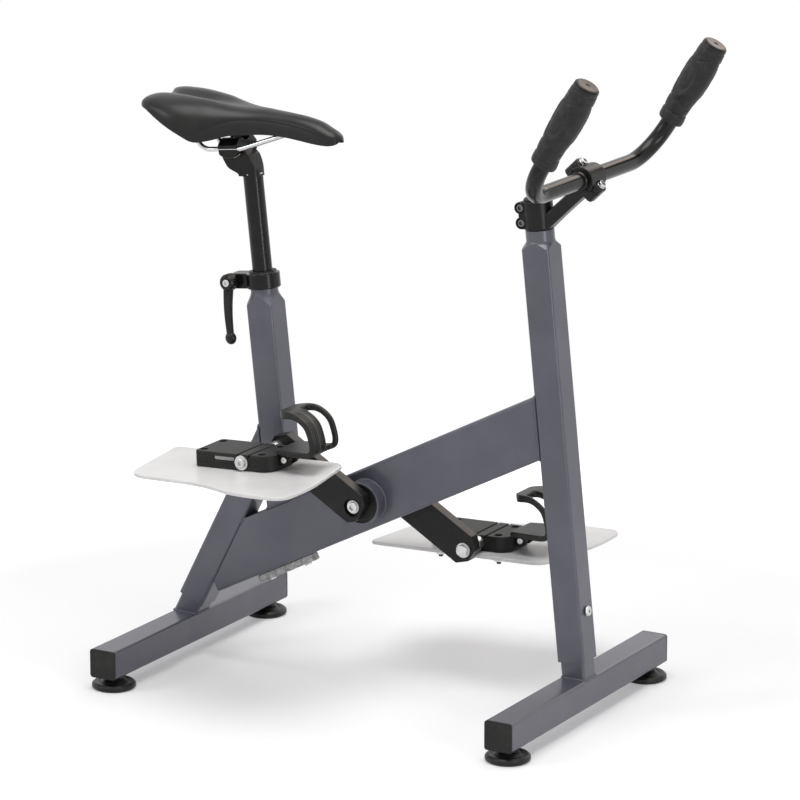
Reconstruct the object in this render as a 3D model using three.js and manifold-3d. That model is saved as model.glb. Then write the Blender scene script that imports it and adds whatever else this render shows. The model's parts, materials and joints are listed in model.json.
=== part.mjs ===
// Aqua bike: a stationary pool bike with hanging resistance plates under its pedals.
// Millimetres. +X runs to the front, +Y to the rider's left and +Z up, with the floor at zero.

import * as THREE from 'three';
import { mergeVertices } from 'three/addons/utils/BufferGeometryUtils.js';
import Module from 'manifold-3d';

const wasm = await Module();
wasm.setup();

const radians = THREE.MathUtils.degToRad;

// Driving dimensions of the frame
const tubeSize = 40;
const tubeWall = 2.5;
const tubeCorner = 4;
const footBeamLength = 450;
const footSpacing = 607;
const beamClearHeight = 19;
const frameLean = 6.2;
const rearPostLean = 27;
const mainBeamSlope = 27;
const mainBeamDepth = 80;
const crankForward = 294.3;
const crankHeight = 261;
const crankRadius = 132.8;
const crankSlope = 31.1;
const frontPostHeight = 576.5;
const seatTubeTop = 295;
const seatPostDiameter = 27.2;
const steererDiameter = 28.6;
const handlebarDiameter = 22.2;

// Fits shared by every piece
const gap = 0.3;
const overrun = 4;

// Facets of round pieces
const ringSteps = 4;
const cornerSegments = 2;
const wheelSides = 24;
const pinSides = 12;
const boltSides = 10;

const finishes = {
  paint: { color: 0x6b6f7a, roughness: 0.45, metalness: 0.5 },
  blackPaint: { color: 0x1d1c1a, roughness: 0.4, metalness: 0.3 },
  blackPlastic: { color: 0x242422, roughness: 0.6, metalness: 0 },
  greyPlastic: { color: 0x3a3a3a, roughness: 0.65, metalness: 0 },
  rubber: { color: 0x2a2a2a, roughness: 0.85, metalness: 0 },
  steel: { color: 0xc4c6c8, roughness: 0.3, metalness: 1 },
  zinc: { color: 0xa8a8a8, roughness: 0.6, metalness: 0.8 },
  polymer: { color: 0xe4e3df, roughness: 0.5, metalness: 0 },
  cover: { color: 0x232323, roughness: 0.5, metalness: 0 },
};

// Solid modelling helpers

function solidOf(geometry) {
  const bare = geometry.clone();
  bare.deleteAttribute('normal');
  bare.deleteAttribute('uv');
  const merged = mergeVertices(bare);
  const corners = Array.from(merged.index.array);
  const kept = [];
  for (let start = 0; start < corners.length; start += 3) {
    const [a, b, c] = corners.slice(start, start + 3);
    if (a !== b && b !== c && c !== a) {
      kept.push(a, b, c);
    }
  }
  return new wasm.Manifold(new wasm.Mesh({
    numProp: 3,
    vertProperties: Float32Array.from(merged.attributes.position.array),
    triVerts: Uint32Array.from(kept),
  }));
}

function geometryOf(solid) {
  const mesh = solid.getMesh();
  const geometry = new THREE.BufferGeometry();
  geometry.setAttribute('position', new THREE.BufferAttribute(Float32Array.from(mesh.vertProperties), 3));
  geometry.setIndex(new THREE.BufferAttribute(Uint32Array.from(mesh.triVerts), 1));
  geometry.computeVertexNormals();
  return geometry;
}

function join(first, ...others) {
  return geometryOf(others.reduce((solid, other) => solid.add(solidOf(other)), solidOf(first)));
}

function cut(first, ...tools) {
  return geometryOf(tools.reduce((solid, tool) => solid.subtract(solidOf(tool)), solidOf(first)));
}

function common(first, second) {
  return geometryOf(solidOf(first).intersect(solidOf(second)));
}

function box(fromX, toX, fromY, toY, fromZ, toZ) {
  const geometry = new THREE.BoxGeometry(toX - fromX, toY - fromY, toZ - fromZ);
  return geometry.translate((fromX + toX) / 2, (fromY + toY) / 2, (fromZ + toZ) / 2);
}

// A round bar along Y between two places.
function barY(radius, fromY, toY, sides = pinSides) {
  const geometry = new THREE.CylinderGeometry(radius, radius, Math.abs(toY - fromY), sides);
  return geometry.translate(0, (fromY + toY) / 2, 0);
}

// A round bar along Z between two places.
function barZ(radius, fromZ, toZ, sides = pinSides) {
  return barY(radius, fromZ, toZ, sides).rotateX(Math.PI / 2);
}

// A round bar along X between two places.
function barX(radius, fromX, toX, sides = pinSides) {
  return barY(radius, fromX, toX, sides).rotateZ(-Math.PI / 2);
}

// A hexagonal bar along Y, measured across its flats.
function hexY(acrossFlats, fromY, toY) {
  const hexSides = 6;
  return barY(acrossFlats / 2 / Math.cos(Math.PI / hexSides), fromY, toY, hexSides);
}

// A profile of [radius, place] pairs turned about Y; the places rise along the outside.
function turnedY(profile, sides = pinSides) {
  return new THREE.LatheGeometry(profile.map(([radius, place]) => new THREE.Vector2(radius, place)), sides);
}

function turnedZ(profile, sides = pinSides) {
  return turnedY(profile, sides).rotateX(Math.PI / 2);
}

function ringY(outerRadius, innerRadius, fromY, toY, sides = pinSides) {
  const profile = [[outerRadius, fromY], [outerRadius, toY], [innerRadius, toY], [innerRadius, fromY]];
  return turnedY([...profile, profile[0]], sides);
}

// A flat outline pushed along +Z, with its long edges eased by an optional bevel.
function extrude(shape, depth, bevel = 0) {
  const geometry = new THREE.ExtrudeGeometry(shape, {
    depth: depth - 2 * bevel,
    bevelEnabled: bevel > 0,
    bevelThickness: bevel,
    bevelSize: bevel,
    bevelOffset: -bevel,
    bevelSegments: 1,
    curveSegments: cornerSegments,
  });
  return geometry.translate(0, 0, bevel);
}

// A side view in X and Z pushed along Y, centred on the middle plane.
function sideExtrude(shape, width, bevel = 0) {
  return extrude(shape, width, bevel).rotateX(Math.PI / 2).translate(0, width / 2, 0);
}

// A closed outline through [x, y, corner radius] points, with each corner eased by a curve.
function easedOutline(corners) {
  const shape = new THREE.Shape();
  corners.forEach(([x, y, radius], index) => {
    const before = corners[(index + corners.length - 1) % corners.length];
    const after = corners[(index + 1) % corners.length];
    const start = new THREE.Vector2(before[0] - x, before[1] - y).setLength(radius);
    const end = new THREE.Vector2(after[0] - x, after[1] - y).setLength(radius);
    if (index === 0) {
      shape.moveTo(x + start.x, y + start.y);
    } else {
      shape.lineTo(x + start.x, y + start.y);
    }
    if (radius > 0) {
      shape.quadraticCurveTo(x, y, x + end.x, y + end.y);
    }
  });
  shape.closePath();
  return shape;
}

function easedRectangle(width, height, radius) {
  const x = width / 2;
  const y = height / 2;
  return easedOutline([[-x, -y, radius], [x, -y, radius], [x, y, radius], [-x, y, radius]]);
}

// One level of a loft: a rounded rectangle that becomes a circle when the radius equals its halves.
function roundedRing(halfX, halfY, radius, z, centreX = 0) {
  const points = [];
  const roundness = radius / Math.min(halfX, halfY);
  for (let corner = 0; corner < 4; corner += 1) {
    const signX = corner === 0 || corner === 3 ? 1 : -1;
    const signY = corner < 2 ? 1 : -1;
    for (let step = 0; step < ringSteps; step += 1) {
      const openShare = step / (ringSteps - 1);
      const evenShare = (step + 0.5) / ringSteps;
      const angle = (corner + THREE.MathUtils.lerp(openShare, evenShare, roundness)) * Math.PI / 2;
      points.push(new THREE.Vector3(
        centreX + signX * (halfX - radius) + radius * Math.cos(angle),
        signY * (halfY - radius) + radius * Math.sin(angle),
        z,
      ));
    }
  }
  return points;
}

function squareRing(half, radius, z) {
  return roundedRing(half, half, radius, z);
}

function circleRing(radius, z, centreX = 0) {
  return roundedRing(radius, radius, radius, z, centreX);
}

// A closed skin over rings that hold the same number of points, each closed by pairing its two halves.
function loft(rings) {
  const count = rings[0].length;
  const index = [];
  for (let ring = 0; ring < rings.length - 1; ring += 1) {
    for (let point = 0; point < count; point += 1) {
      const low = ring * count + point;
      const lowNext = ring * count + (point + 1) % count;
      if (point < count / 2) {
        index.push(low, lowNext, lowNext + count, low, lowNext + count, low + count);
      } else {
        index.push(low, lowNext, low + count, lowNext, lowNext + count, low + count);
      }
    }
  }
  const top = (rings.length - 1) * count;
  for (let near = 0; near < count / 2 - 1; near += 1) {
    const far = count - 1 - near;
    index.push(near, far - 1, near + 1, near, far, far - 1);
    index.push(top + near, top + near + 1, top + far - 1, top + near, top + far - 1, top + far);
  }
  const geometry = new THREE.BufferGeometry();
  const places = rings.flat().flatMap((point) => [point.x, point.y, point.z]);
  geometry.setAttribute('position', new THREE.Float32BufferAttribute(places, 3));
  geometry.setIndex(index);
  geometry.computeVertexNormals();
  return geometry;
}

// A circular bend drawn as a cubic curve between two tangent points that meet in a corner.
function bend(from, corner, to) {
  const circleShare = 0.55;
  const first = from.clone().lerp(corner, circleShare);
  const second = to.clone().lerp(corner, circleShare);
  return new THREE.CubicBezierCurve3(from, first, second, to);
}

// Points along straight runs joined by bends; each corner is eased over its setback.
function easedLine(start, corners, end, steps) {
  const stops = [start, ...corners.map((corner) => corner.point), end];
  const bends = corners.flatMap(({ point, setback }, index) => {
    const before = stops[index].clone().sub(point).setLength(setback).add(point);
    const after = stops[index + 2].clone().sub(point).setLength(setback).add(point);
    return bend(before, point, after).getPoints(steps);
  });
  return [start, ...bends, end];
}

// A line that is swept from point to point, so that straight runs stay straight.
class PointLine extends THREE.Curve {
  constructor(points) {
    super();
    this.points = points;
  }

  getPointAt(share) {
    return this.points[Math.round(share * (this.points.length - 1))].clone();
  }

  getTangentAt(share) {
    const last = this.points.length - 1;
    const index = Math.round(share * last);
    const before = this.points[Math.max(index - 1, 0)];
    const after = this.points[Math.min(index + 1, last)];
    return after.clone().sub(before).normalize();
  }
}

function sweep(outline, points, roundSides) {
  return new THREE.ExtrudeGeometry(outline, {
    steps: points.length - 1,
    extrudePath: new PointLine(points),
    curveSegments: roundSides / 2,
    bevelEnabled: false,
  });
}

// A frame lies in the middle plane: its origin and its turn about Y.
function groupAt(frame, name) {
  const group = new THREE.Group();
  group.name = name;
  group.position.set(frame.x, 0, frame.z);
  group.rotation.y = frame.turn;
  return group;
}

function fromFrame(frame, geometry) {
  return geometry.clone().rotateY(frame.turn).translate(frame.x, 0, frame.z);
}

function intoFrame(frame, geometry) {
  return geometry.clone().translate(-frame.x, 0, -frame.z).rotateY(-frame.turn);
}

function pointFromFrame(frame, x, z) {
  const point = new THREE.Vector3(x, 0, z).applyAxisAngle(new THREE.Vector3(0, 1, 0), frame.turn);
  return { x: frame.x + point.x, z: frame.z + point.z };
}

function pointIntoFrame(frame, point) {
  const axis = new THREE.Vector3(0, 1, 0);
  const local = new THREE.Vector3(point.x - frame.x, 0, point.z - frame.z).applyAxisAngle(axis, -frame.turn);
  return { x: local.x, z: local.z };
}

function addPiece(parent, name, geometry, finish) {
  const mesh = new THREE.Mesh(geometry, new THREE.MeshStandardMaterial(finishes[finish]));
  mesh.name = name;
  parent.add(mesh);
  return mesh;
}

const sides = [
  { name: 'right', sign: -1 },
  { name: 'left', sign: 1 },
];

// Frames of the weldment
const beamTop = beamClearHeight + tubeSize;
const frontPostFrame = { x: footSpacing, z: beamTop, turn: radians(-frameLean) };
const rearPostFrame = { x: 0, z: beamTop, turn: radians(rearPostLean) };
const mainBeamFrame = { x: crankForward, z: crankHeight, turn: radians(-mainBeamSlope) };
const crankBelowMiddle = 2;
const mainBeamTop = mainBeamDepth / 2 + crankBelowMiddle;
const seatTubeSetback = 136;
const seatTubeFoot = pointFromFrame(mainBeamFrame, -seatTubeSetback, mainBeamTop);
const seatTubeFrame = { x: seatTubeFoot.x, z: seatTubeFoot.z, turn: radians(-frameLean) };

const tubeHalf = tubeSize / 2;
const tubeBoreHalf = tubeHalf - tubeWall;
const tubeBoreCorner = tubeCorner - tubeWall;
const stubHalf = tubeBoreHalf - gap;
const stubLength = 118;

// Post bolts lock the posts on the stubs of the foot beams
const postBoltHeight = 89.5;
const postBoltShank = 8;
const postBoltHead = 14;
const postBoltHeadHeight = 4.5;
const postBoltReach = 22;

// Foot beams with their stubs, caps and levelling feet
const capFlange = 2.5;
const capPlugLength = 14;
const capPlugWall = 2;
const footInset = 28;
const footStudDiameter = 10;
const footNutFlats = 17;
const footNutHeight = 8;

function stubGeometry(frame) {
  const outer = loft([squareRing(stubHalf, tubeCorner, -tubeSize), squareRing(stubHalf, tubeCorner, stubLength)]);
  const belowWeld = box(-tubeSize, tubeSize, -tubeSize, tubeSize, -2 * tubeSize, -tubeCorner);
  return cut(outer, intoFrame({ ...frame, x: 0, z: 0 }, belowWeld));
}

function stubBores(frame) {
  const half = stubHalf - tubeWall;
  const bore = loft([
    squareRing(half, tubeBoreCorner, tubeWall),
    squareRing(half, tubeBoreCorner, stubLength + overrun),
  ]);
  const upright = { ...frame, x: 0, z: 0 };
  return cut(bore, intoFrame(upright, box(-tubeSize, tubeSize, -tubeSize, tubeSize, -tubeSize, 0)));
}

function footBeamGeometry(frame, boltSign) {
  const halfLength = footBeamLength / 2 - capFlange - gap;
  const shape = easedRectangle(tubeSize, tubeSize, tubeCorner);
  const bore = easedRectangle(2 * tubeBoreHalf, 2 * tubeBoreHalf, tubeBoreCorner);
  const beam = sideExtrude(shape, 2 * halfLength).translate(0, 0, -tubeHalf);
  const hollow = sideExtrude(bore, footBeamLength + overrun).translate(0, 0, -tubeHalf);
  const upright = { ...frame, x: 0, z: 0 };
  const bolt = barX(postBoltShank / 2 + gap, 0, boltSign * tubeSize).translate(0, 0, postBoltHeight);
  let solid = cut(beam, hollow);
  solid = join(solid, fromFrame(upright, stubGeometry(frame)));
  solid = cut(solid, fromFrame(upright, stubBores(frame)), fromFrame(upright, bolt));
  for (const side of sides) {
    const place = side.sign * (footBeamLength / 2 - footInset);
    const nut = hexY(footNutFlats, 0, footNutHeight).rotateX(Math.PI / 2);
    solid = join(solid, nut.translate(0, place, tubeWall / 2 - tubeSize));
    const hole = barZ(footStudDiameter / 2 + gap, -tubeSize - overrun, footNutHeight + tubeWall - tubeSize + overrun);
    solid = cut(solid, hole.translate(0, place, 0));
  }
  return solid;
}

function endCapGeometry() {
  const flange = sideExtrude(easedRectangle(tubeSize, tubeSize, tubeCorner), capFlange);
  const plugHalf = tubeBoreHalf - gap;
  const plugOutline = easedRectangle(2 * plugHalf, 2 * plugHalf, tubeBoreCorner);
  const cupHalf = plugHalf - capPlugWall;
  const cupOutline = easedRectangle(2 * cupHalf, 2 * cupHalf, capPlugWall);
  const plug = sideExtrude(plugOutline, capPlugLength).translate(0, -(capPlugLength + capFlange) / 2 + gap, 0);
  const cup = sideExtrude(cupOutline, capPlugLength + overrun);
  return cut(join(flange, plug), cup.translate(0, -(capPlugLength + capFlange + overrun) / 2, 0));
}

const footPadDiameter = 60;
const footPadRim = 9;
const footPadDome = 13.5;
const footNeckDiameter = 26;
const footChamfer = 1.5;
const footThreadReach = 26;

function levellingFootGeometry() {
  const padRadius = footPadDiameter / 2;
  const pad = turnedZ([
    [0, 0],
    [padRadius - footChamfer, 0],
    [padRadius, footChamfer],
    [padRadius, footPadRim - footChamfer],
    [padRadius - footChamfer, footPadRim],
    [footNeckDiameter / 2, footPadDome],
    [0, footPadDome],
  ], wheelSides);
  const collar = hexY(footNutFlats, footPadDome - footChamfer, beamClearHeight - gap).rotateX(Math.PI / 2);
  const stud = barZ(footStudDiameter / 2, beamClearHeight - footChamfer, beamClearHeight + footThreadReach);
  return join(pad, collar, stud);
}

function addFootBeam(parent, name, frame, boltSign) {
  const group = groupAt({ x: frame.x, z: frame.z, turn: 0 }, `${name}_foot`);
  parent.add(group);
  addPiece(group, `${name}_foot_beam`, footBeamGeometry(frame, boltSign), 'paint');
  for (const side of sides) {
    const cap = addPiece(group, `${name}_${side.name}_cap`, endCapGeometry(), 'blackPlastic');
    cap.position.set(0, side.sign * (footBeamLength - capFlange) / 2, -tubeHalf);
    cap.rotation.z = side.sign > 0 ? 0 : Math.PI;
    const foot = addPiece(group, `${name}_${side.name}_levelling_foot`, levellingFootGeometry(), 'rubber');
    foot.position.set(0, side.sign * (footBeamLength / 2 - footInset), -beamTop);
  }
}

function postBoltGeometry() {
  const seat = tubeHalf + gap;
  const edge = postBoltHeadHeight / 2;
  const head = turnedY([
    [0, 0],
    [postBoltHead / 2, 0],
    [postBoltHead / 2, edge],
    [postBoltHead / 4, postBoltHeadHeight],
    [0, postBoltHeadHeight],
  ], boltSides).rotateZ(-Math.PI / 2).translate(seat, 0, 0);
  return join(head, barX(postBoltShank / 2, seat - postBoltReach, seat + edge, boltSides));
}

// Posts: square tubes drawn down to a round neck
const postFootGap = 23;
const frontShoulder = 11;
const frontNeckDiameter = 38;
const frontNeck = 13.5;
const steererLength = 38;
const steererWall = 3.3;

function drawnTube(bottom, squareTop, shoulder, neckDiameter, top) {
  const neckRadius = neckDiameter / 2;
  const middleHalf = (tubeHalf + neckRadius) / 2;
  const middleCorner = (tubeCorner + neckRadius) / 2;
  return loft([
    squareRing(tubeHalf, tubeCorner, bottom),
    squareRing(tubeHalf, tubeCorner, squareTop),
    squareRing(middleHalf, middleCorner, squareTop + shoulder / 2),
    circleRing(neckRadius, squareTop + shoulder),
    circleRing(neckRadius, top),
  ]);
}

function frontPostGeometry() {
  const neckBase = frontPostHeight + frontShoulder;
  const neckTop = neckBase + frontNeck;
  const outer = drawnTube(postFootGap, frontPostHeight, frontShoulder, frontNeckDiameter, neckTop);
  const spigot = barZ(steererDiameter / 2, neckBase, neckTop + steererLength, wheelSides);
  const squareBore = loft([
    squareRing(tubeBoreHalf, tubeBoreCorner, 0),
    squareRing(tubeBoreHalf, tubeBoreCorner, frontPostHeight - tubeWall),
  ]);
  const roundBore = barZ(steererDiameter / 2 - steererWall, frontPostHeight - tubeSize, neckTop + 2 * steererLength,
    wheelSides);
  const bolt = barX(postBoltShank / 2 + gap, 0, tubeSize).translate(0, 0, postBoltHeight);
  return cut(join(outer, spigot), squareBore, roundBore, bolt);
}

const seatShoulder = 20;
const seatNeckDiameter = 37.5;
const seatNeckTop = 43.5;
const shimWall = 2;
const seatSlotWidth = 3;
const seatSlotDepth = 34;
const shimBore = seatPostDiameter / 2 + gap;
const shimRadius = shimBore + shimWall;
const seatTubeBore = shimRadius + gap;

function seatTubeGeometry() {
  const top = seatTubeTop - seatShoulder + seatNeckTop;
  const squareTop = seatTubeTop - seatShoulder;
  const outer = drawnTube(-tubeSize, squareTop, seatShoulder, seatNeckDiameter, top);
  const squareBore = loft([
    squareRing(tubeBoreHalf, tubeBoreCorner, -2 * tubeSize),
    squareRing(tubeBoreHalf, tubeBoreCorner, squareTop - tubeWall),
  ]);
  const roundBore = barZ(seatTubeBore, squareTop - tubeSize, top + overrun, wheelSides);
  const slot = box(-tubeSize, 0, -seatSlotWidth / 2, seatSlotWidth / 2, top - seatSlotDepth, top + overrun);
  const farBelow = 4 * tubeSize;
  const mainBeamBody = box(-farBelow, farBelow, -tubeSize, tubeSize, -farBelow, mainBeamTop + gap);
  const beamTool = intoFrame(seatTubeFrame, fromFrame(mainBeamFrame, mainBeamBody.translate(-seatTubeSetback, 0, 0)));
  return cut(outer, squareBore, roundBore, slot, beamTool);
}

function rearPostGeometry() {
  const reach = footSpacing;
  const outer = loft([squareRing(tubeHalf, tubeCorner, postFootGap), squareRing(tubeHalf, tubeCorner, reach)]);
  const bore = loft([
    squareRing(tubeBoreHalf, tubeBoreCorner, 0),
    squareRing(tubeBoreHalf, tubeBoreCorner, reach + overrun),
  ]);
  const seatSide = box(-tubeHalf - gap, footSpacing, -tubeSize, tubeSize, -footSpacing, footSpacing);
  const bolt = barX(postBoltShank / 2 + gap, 0, -tubeSize).translate(0, 0, postBoltHeight);
  return cut(outer, bore, intoFrame(rearPostFrame, fromFrame(seatTubeFrame, seatSide)), bolt);
}

// Main beam, cut on the faces of both posts, with a closed heel at its lower rear corner
const heelHeight = 16;
const crankShellDiameter = 58;

function mainBeamGeometry() {
  const half = mainBeamDepth / 2;
  const reach = footSpacing;
  const section = easedRectangle(mainBeamDepth, tubeSize, tubeCorner);
  const boreSection = easedRectangle(mainBeamDepth - 2 * tubeWall, tubeSize - 2 * tubeWall, tubeBoreCorner);
  const outer = extrude(section, 2 * reach).rotateY(Math.PI / 2).translate(-reach, 0, crankBelowMiddle);
  const bore = extrude(boreSection, 4 * reach).rotateY(Math.PI / 2).translate(-2 * reach, 0, crankBelowMiddle);
  const frontSide = box(-tubeHalf - gap, reach, -tubeSize, tubeSize, -reach, 2 * reach);
  const rearSide = box(-reach, tubeHalf + gap, -tubeSize, tubeSize, -reach, 2 * reach);
  const frontTool = intoFrame(mainBeamFrame, fromFrame(frontPostFrame, frontSide));
  const rearTool = intoFrame(mainBeamFrame, fromFrame(rearPostFrame, rearSide));
  const bottom = crankBelowMiddle - half;
  const low = pointIntoFrame(mainBeamFrame, pointFromFrame(rearPostFrame, tubeHalf + gap, 0));
  const high = pointIntoFrame(mainBeamFrame, pointFromFrame(rearPostFrame, tubeHalf + gap, tubeSize));
  const heelTop = bottom + heelHeight;
  const heelX = low.x + (high.x - low.x) * (heelTop - low.z) / (high.z - low.z);
  const heelTool = box(-reach, heelX, -tubeSize, tubeSize, bottom - overrun, heelTop);
  const heelBlock = box(heelX, heelX + tubeWall, -tubeSize, tubeSize, bottom - overrun, heelTop);
  const heelPlate = common(outer, heelBlock);
  const shellHole = barY(crankShellDiameter / 2 + gap, -tubeSize, tubeSize, wheelSides);
  const tube = cut(outer, bore, frontTool, rearTool, heelTool);
  return cut(join(tube, heelPlate), shellHole);
}

const anodeLength = 96;
const anodeWidth = 20;
const anodeThickness = 10.5;
const anodeRearSetback = 222;
const anodeHoleDiameter = 6;
const anodeHoleInset = 16;

function anodeGeometry() {
  const outline = easedOutline([
    [0, -anodeWidth / 2, anodeWidth / 5],
    [anodeLength, -anodeWidth / 2, anodeWidth / 2.5],
    [anodeLength, anodeWidth / 2, anodeWidth / 2.5],
    [0, anodeWidth / 2, anodeWidth / 5],
  ]);
  let bar = extrude(outline, anodeThickness, anodeThickness / 10);
  for (const place of [anodeHoleInset, anodeLength - anodeHoleInset]) {
    const hole = barZ(anodeHoleDiameter / 2, -overrun, anodeThickness + overrun, boltSides);
    bar = cut(bar, hole.translate(place, 0, 0));
  }
  return bar;
}

function addFrame(parent) {
  const frontGroup = groupAt(frontPostFrame, 'front_post_frame');
  const rearGroup = groupAt(rearPostFrame, 'rear_post_frame');
  const beamGroup = groupAt(mainBeamFrame, 'main_beam_frame');
  const seatGroup = groupAt(seatTubeFrame, 'seat_tube_frame');
  parent.add(frontGroup, rearGroup, beamGroup, seatGroup);
  addPiece(frontGroup, 'front_post', frontPostGeometry(), 'paint');
  addPiece(rearGroup, 'rear_post', rearPostGeometry(), 'paint');
  addPiece(beamGroup, 'main_beam', mainBeamGeometry(), 'paint');
  addPiece(seatGroup, 'seat_tube', seatTubeGeometry(), 'paint');
  const frontBolt = addPiece(frontGroup, 'front_post_bolt', postBoltGeometry(), 'steel');
  frontBolt.position.z = postBoltHeight;
  const rearBolt = addPiece(rearGroup, 'rear_post_bolt', postBoltGeometry(), 'steel');
  rearBolt.position.z = postBoltHeight;
  rearBolt.rotation.z = Math.PI;
  const anode = addPiece(beamGroup, 'sacrificial_anode', anodeGeometry(), 'zinc');
  anode.position.set(-anodeRearSetback, 0, crankBelowMiddle - mainBeamDepth / 2 - gap - anodeThickness);
}

// Crank shell, bearings and crank set
const crankShellHalf = 40;
const crankShellWall = 3;
const bearingWidth = 12;
const bearingRecess = 1.5;
const bearingShoulder = 2;
const axleDiameter = 20;
const axleCollarDiameter = 26;
const armInner = 42.6;
const armThickness = 18;
const armWidth = 46;
const armCrankEnd = 14;
const armPedalEnd = 14;
const armCrankChamfer = 9;
const armPedalChamfer = 14;
const armBevel = 1;
const axleSquare = 14;
const recessDiameter = 25;
const recessDepth = 5;
const crankBoltHead = 18.3;
const crankBoltShank = 8;
const crankBoltReach = 18;
const pedalSpindleDiameter = 14;

function crankShellGeometry() {
  const outer = crankShellDiameter / 2;
  const seat = outer - crankShellWall;
  const middle = seat - bearingShoulder;
  const shoulder = crankShellHalf - bearingRecess - bearingWidth - gap;
  const profile = [
    [outer, -crankShellHalf],
    [outer, crankShellHalf],
    [seat, crankShellHalf],
    [seat, shoulder],
    [middle, shoulder],
    [middle, -shoulder],
    [seat, -shoulder],
    [seat, -crankShellHalf],
  ];
  return turnedY([...profile, profile[0]], wheelSides);
}

function bearingGeometry() {
  const outer = crankShellDiameter / 2 - crankShellWall - gap;
  return ringY(outer, axleDiameter / 2 + gap, -bearingWidth / 2, bearingWidth / 2, wheelSides);
}

function axleGeometry() {
  const shoulder = crankShellHalf - bearingRecess - bearingWidth - 2 * gap;
  const squareEnd = armInner + armThickness - recessDepth - gap;
  const round = turnedY([
    [0, gap - armInner],
    [axleDiameter / 2, gap - armInner],
    [axleDiameter / 2, -shoulder],
    [axleCollarDiameter / 2, -shoulder],
    [axleCollarDiameter / 2, shoulder],
    [axleDiameter / 2, shoulder],
    [axleDiameter / 2, armInner - gap],
    [0, armInner - gap],
  ]);
  const squareHalf = axleSquare / 2;
  const square = box(-squareHalf, squareHalf, -squareEnd, squareEnd, -squareHalf, squareHalf);
  let solid = join(round, square);
  for (const side of sides) {
    const bore = barY(crankBoltShank / 2 + gap, squareEnd - crankBoltReach - overrun, squareEnd + overrun, boltSides);
    solid = cut(solid, side.sign > 0 ? bore : bore.rotateX(Math.PI));
  }
  return solid;
}

// The arm runs along X from the axle to the pedal, with its inner face at the arm's seat on the axle.
function crankArmGeometry() {
  const half = armWidth / 2;
  const end = crankRadius + armPedalEnd;
  const outline = new THREE.Shape([
    new THREE.Vector2(-armCrankEnd, armCrankChamfer - half),
    new THREE.Vector2(armCrankChamfer - armCrankEnd, -half),
    new THREE.Vector2(end - armPedalChamfer, -half),
    new THREE.Vector2(end, armPedalChamfer - half),
    new THREE.Vector2(end, half - armPedalChamfer),
    new THREE.Vector2(end - armPedalChamfer, half),
    new THREE.Vector2(armCrankChamfer - armCrankEnd, half),
    new THREE.Vector2(-armCrankEnd, half - armCrankChamfer),
  ]);
  const bar = sideExtrude(outline, armThickness, armBevel).translate(0, armInner + armThickness / 2, 0);
  const outerFace = armInner + armThickness;
  const recess = barY(recessDiameter / 2, outerFace - recessDepth, outerFace + overrun, wheelSides);
  const holeHalf = axleSquare / 2 + gap;
  const square = box(-holeHalf, holeHalf, armInner - overrun, outerFace, -holeHalf, holeHalf);
  const spindle = barY(pedalSpindleDiameter / 2 + gap, armInner - overrun, outerFace + overrun);
  return cut(bar, recess, square, spindle.translate(crankRadius, 0, 0));
}

function crankBoltGeometry() {
  const seat = armInner + armThickness - recessDepth + gap;
  const head = turnedY([
    [0, seat],
    [crankBoltHead / 2, seat],
    [crankBoltHead / 2, seat + recessDepth * 3 / 4],
    [crankBoltHead / 3, seat + recessDepth],
    [0, seat + recessDepth],
  ]);
  return join(head, barY(crankBoltShank / 2, seat - crankBoltReach, seat + recessDepth / 2, boltSides));
}

// Pedal spindle: a hex-headed axle through the arm, with a shoulder that carries the pedal
const spindleHeadFlats = 16;
const spindleHeadHeight = 6;
const spindleShoulderDiameter = 20;
const spindleTipDiameter = 12;
const pedalInner = 85;
const pedalOuter = 155;
const endBoltShank = 6;
const endBoltReach = 16;
const endBoltHeadFlats = 13;
const endBoltHeadHeight = 4;
const endWasherDiameter = 20.5;
const endWasherThickness = 1.6;

function pedalSpindleGeometry() {
  const shoulderStart = armInner + armThickness + gap;
  const head = hexY(spindleHeadFlats, armInner - gap - spindleHeadHeight, armInner - gap);
  const shaft = turnedY([
    [0, armInner - 2 * gap],
    [pedalSpindleDiameter / 2, armInner - 2 * gap],
    [pedalSpindleDiameter / 2, shoulderStart],
    [spindleShoulderDiameter / 2, shoulderStart],
    [spindleShoulderDiameter / 2, pedalInner - gap],
    [spindleTipDiameter / 2, pedalInner - gap],
    [spindleTipDiameter / 2, pedalOuter],
    [0, pedalOuter],
  ]);
  const bore = barY(endBoltShank / 2 + gap, pedalOuter - endBoltReach - overrun, pedalOuter + overrun, boltSides);
  return cut(join(head, shaft), bore);
}

function pedalEndBoltGeometry() {
  const seat = pedalOuter + gap;
  const washer = barY(endWasherDiameter / 2, seat, seat + endWasherThickness);
  const headTop = seat + endWasherThickness + endBoltHeadHeight;
  const head = hexY(endBoltHeadFlats, seat + endWasherThickness / 2, headTop);
  const shank = barY(endBoltShank / 2, seat - endBoltReach, seat + endWasherThickness, boltSides);
  return join(washer, head, shank);
}

// Pedal body: a moulded platform with two cross grooves, clamped on the plate by four bolts
const pedalRear = 74;
const pedalFront = 46;
const pedalThickness = 22;
const pedalRearCorner = 6;
const pedalFrontCorner = 20;
const pedalBevel = 1.5;
const grooveWidth = 3.2;
const grooveDepth = 4;
const grooveRear = 6;
const grooveFront = 11;
const plateBoltHole = 9;
const plateBoltRear = 65;
const plateBoltFront = 25;
const plateBoltHalfSpread = 24;
const pocketDepth = 13;
const pocketRib = 4;
const barSlotHeight = 6;
const barSlotRise = 3.3;
const barSlotRear = 44;
const barSlotFront = 12;
const barSlotDepth = 8;
const lugDiameter = 17;
const lugThickness = 8;
const lugSpread = 18;
const lugReach = 6;
const clipBase = 12;

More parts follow.
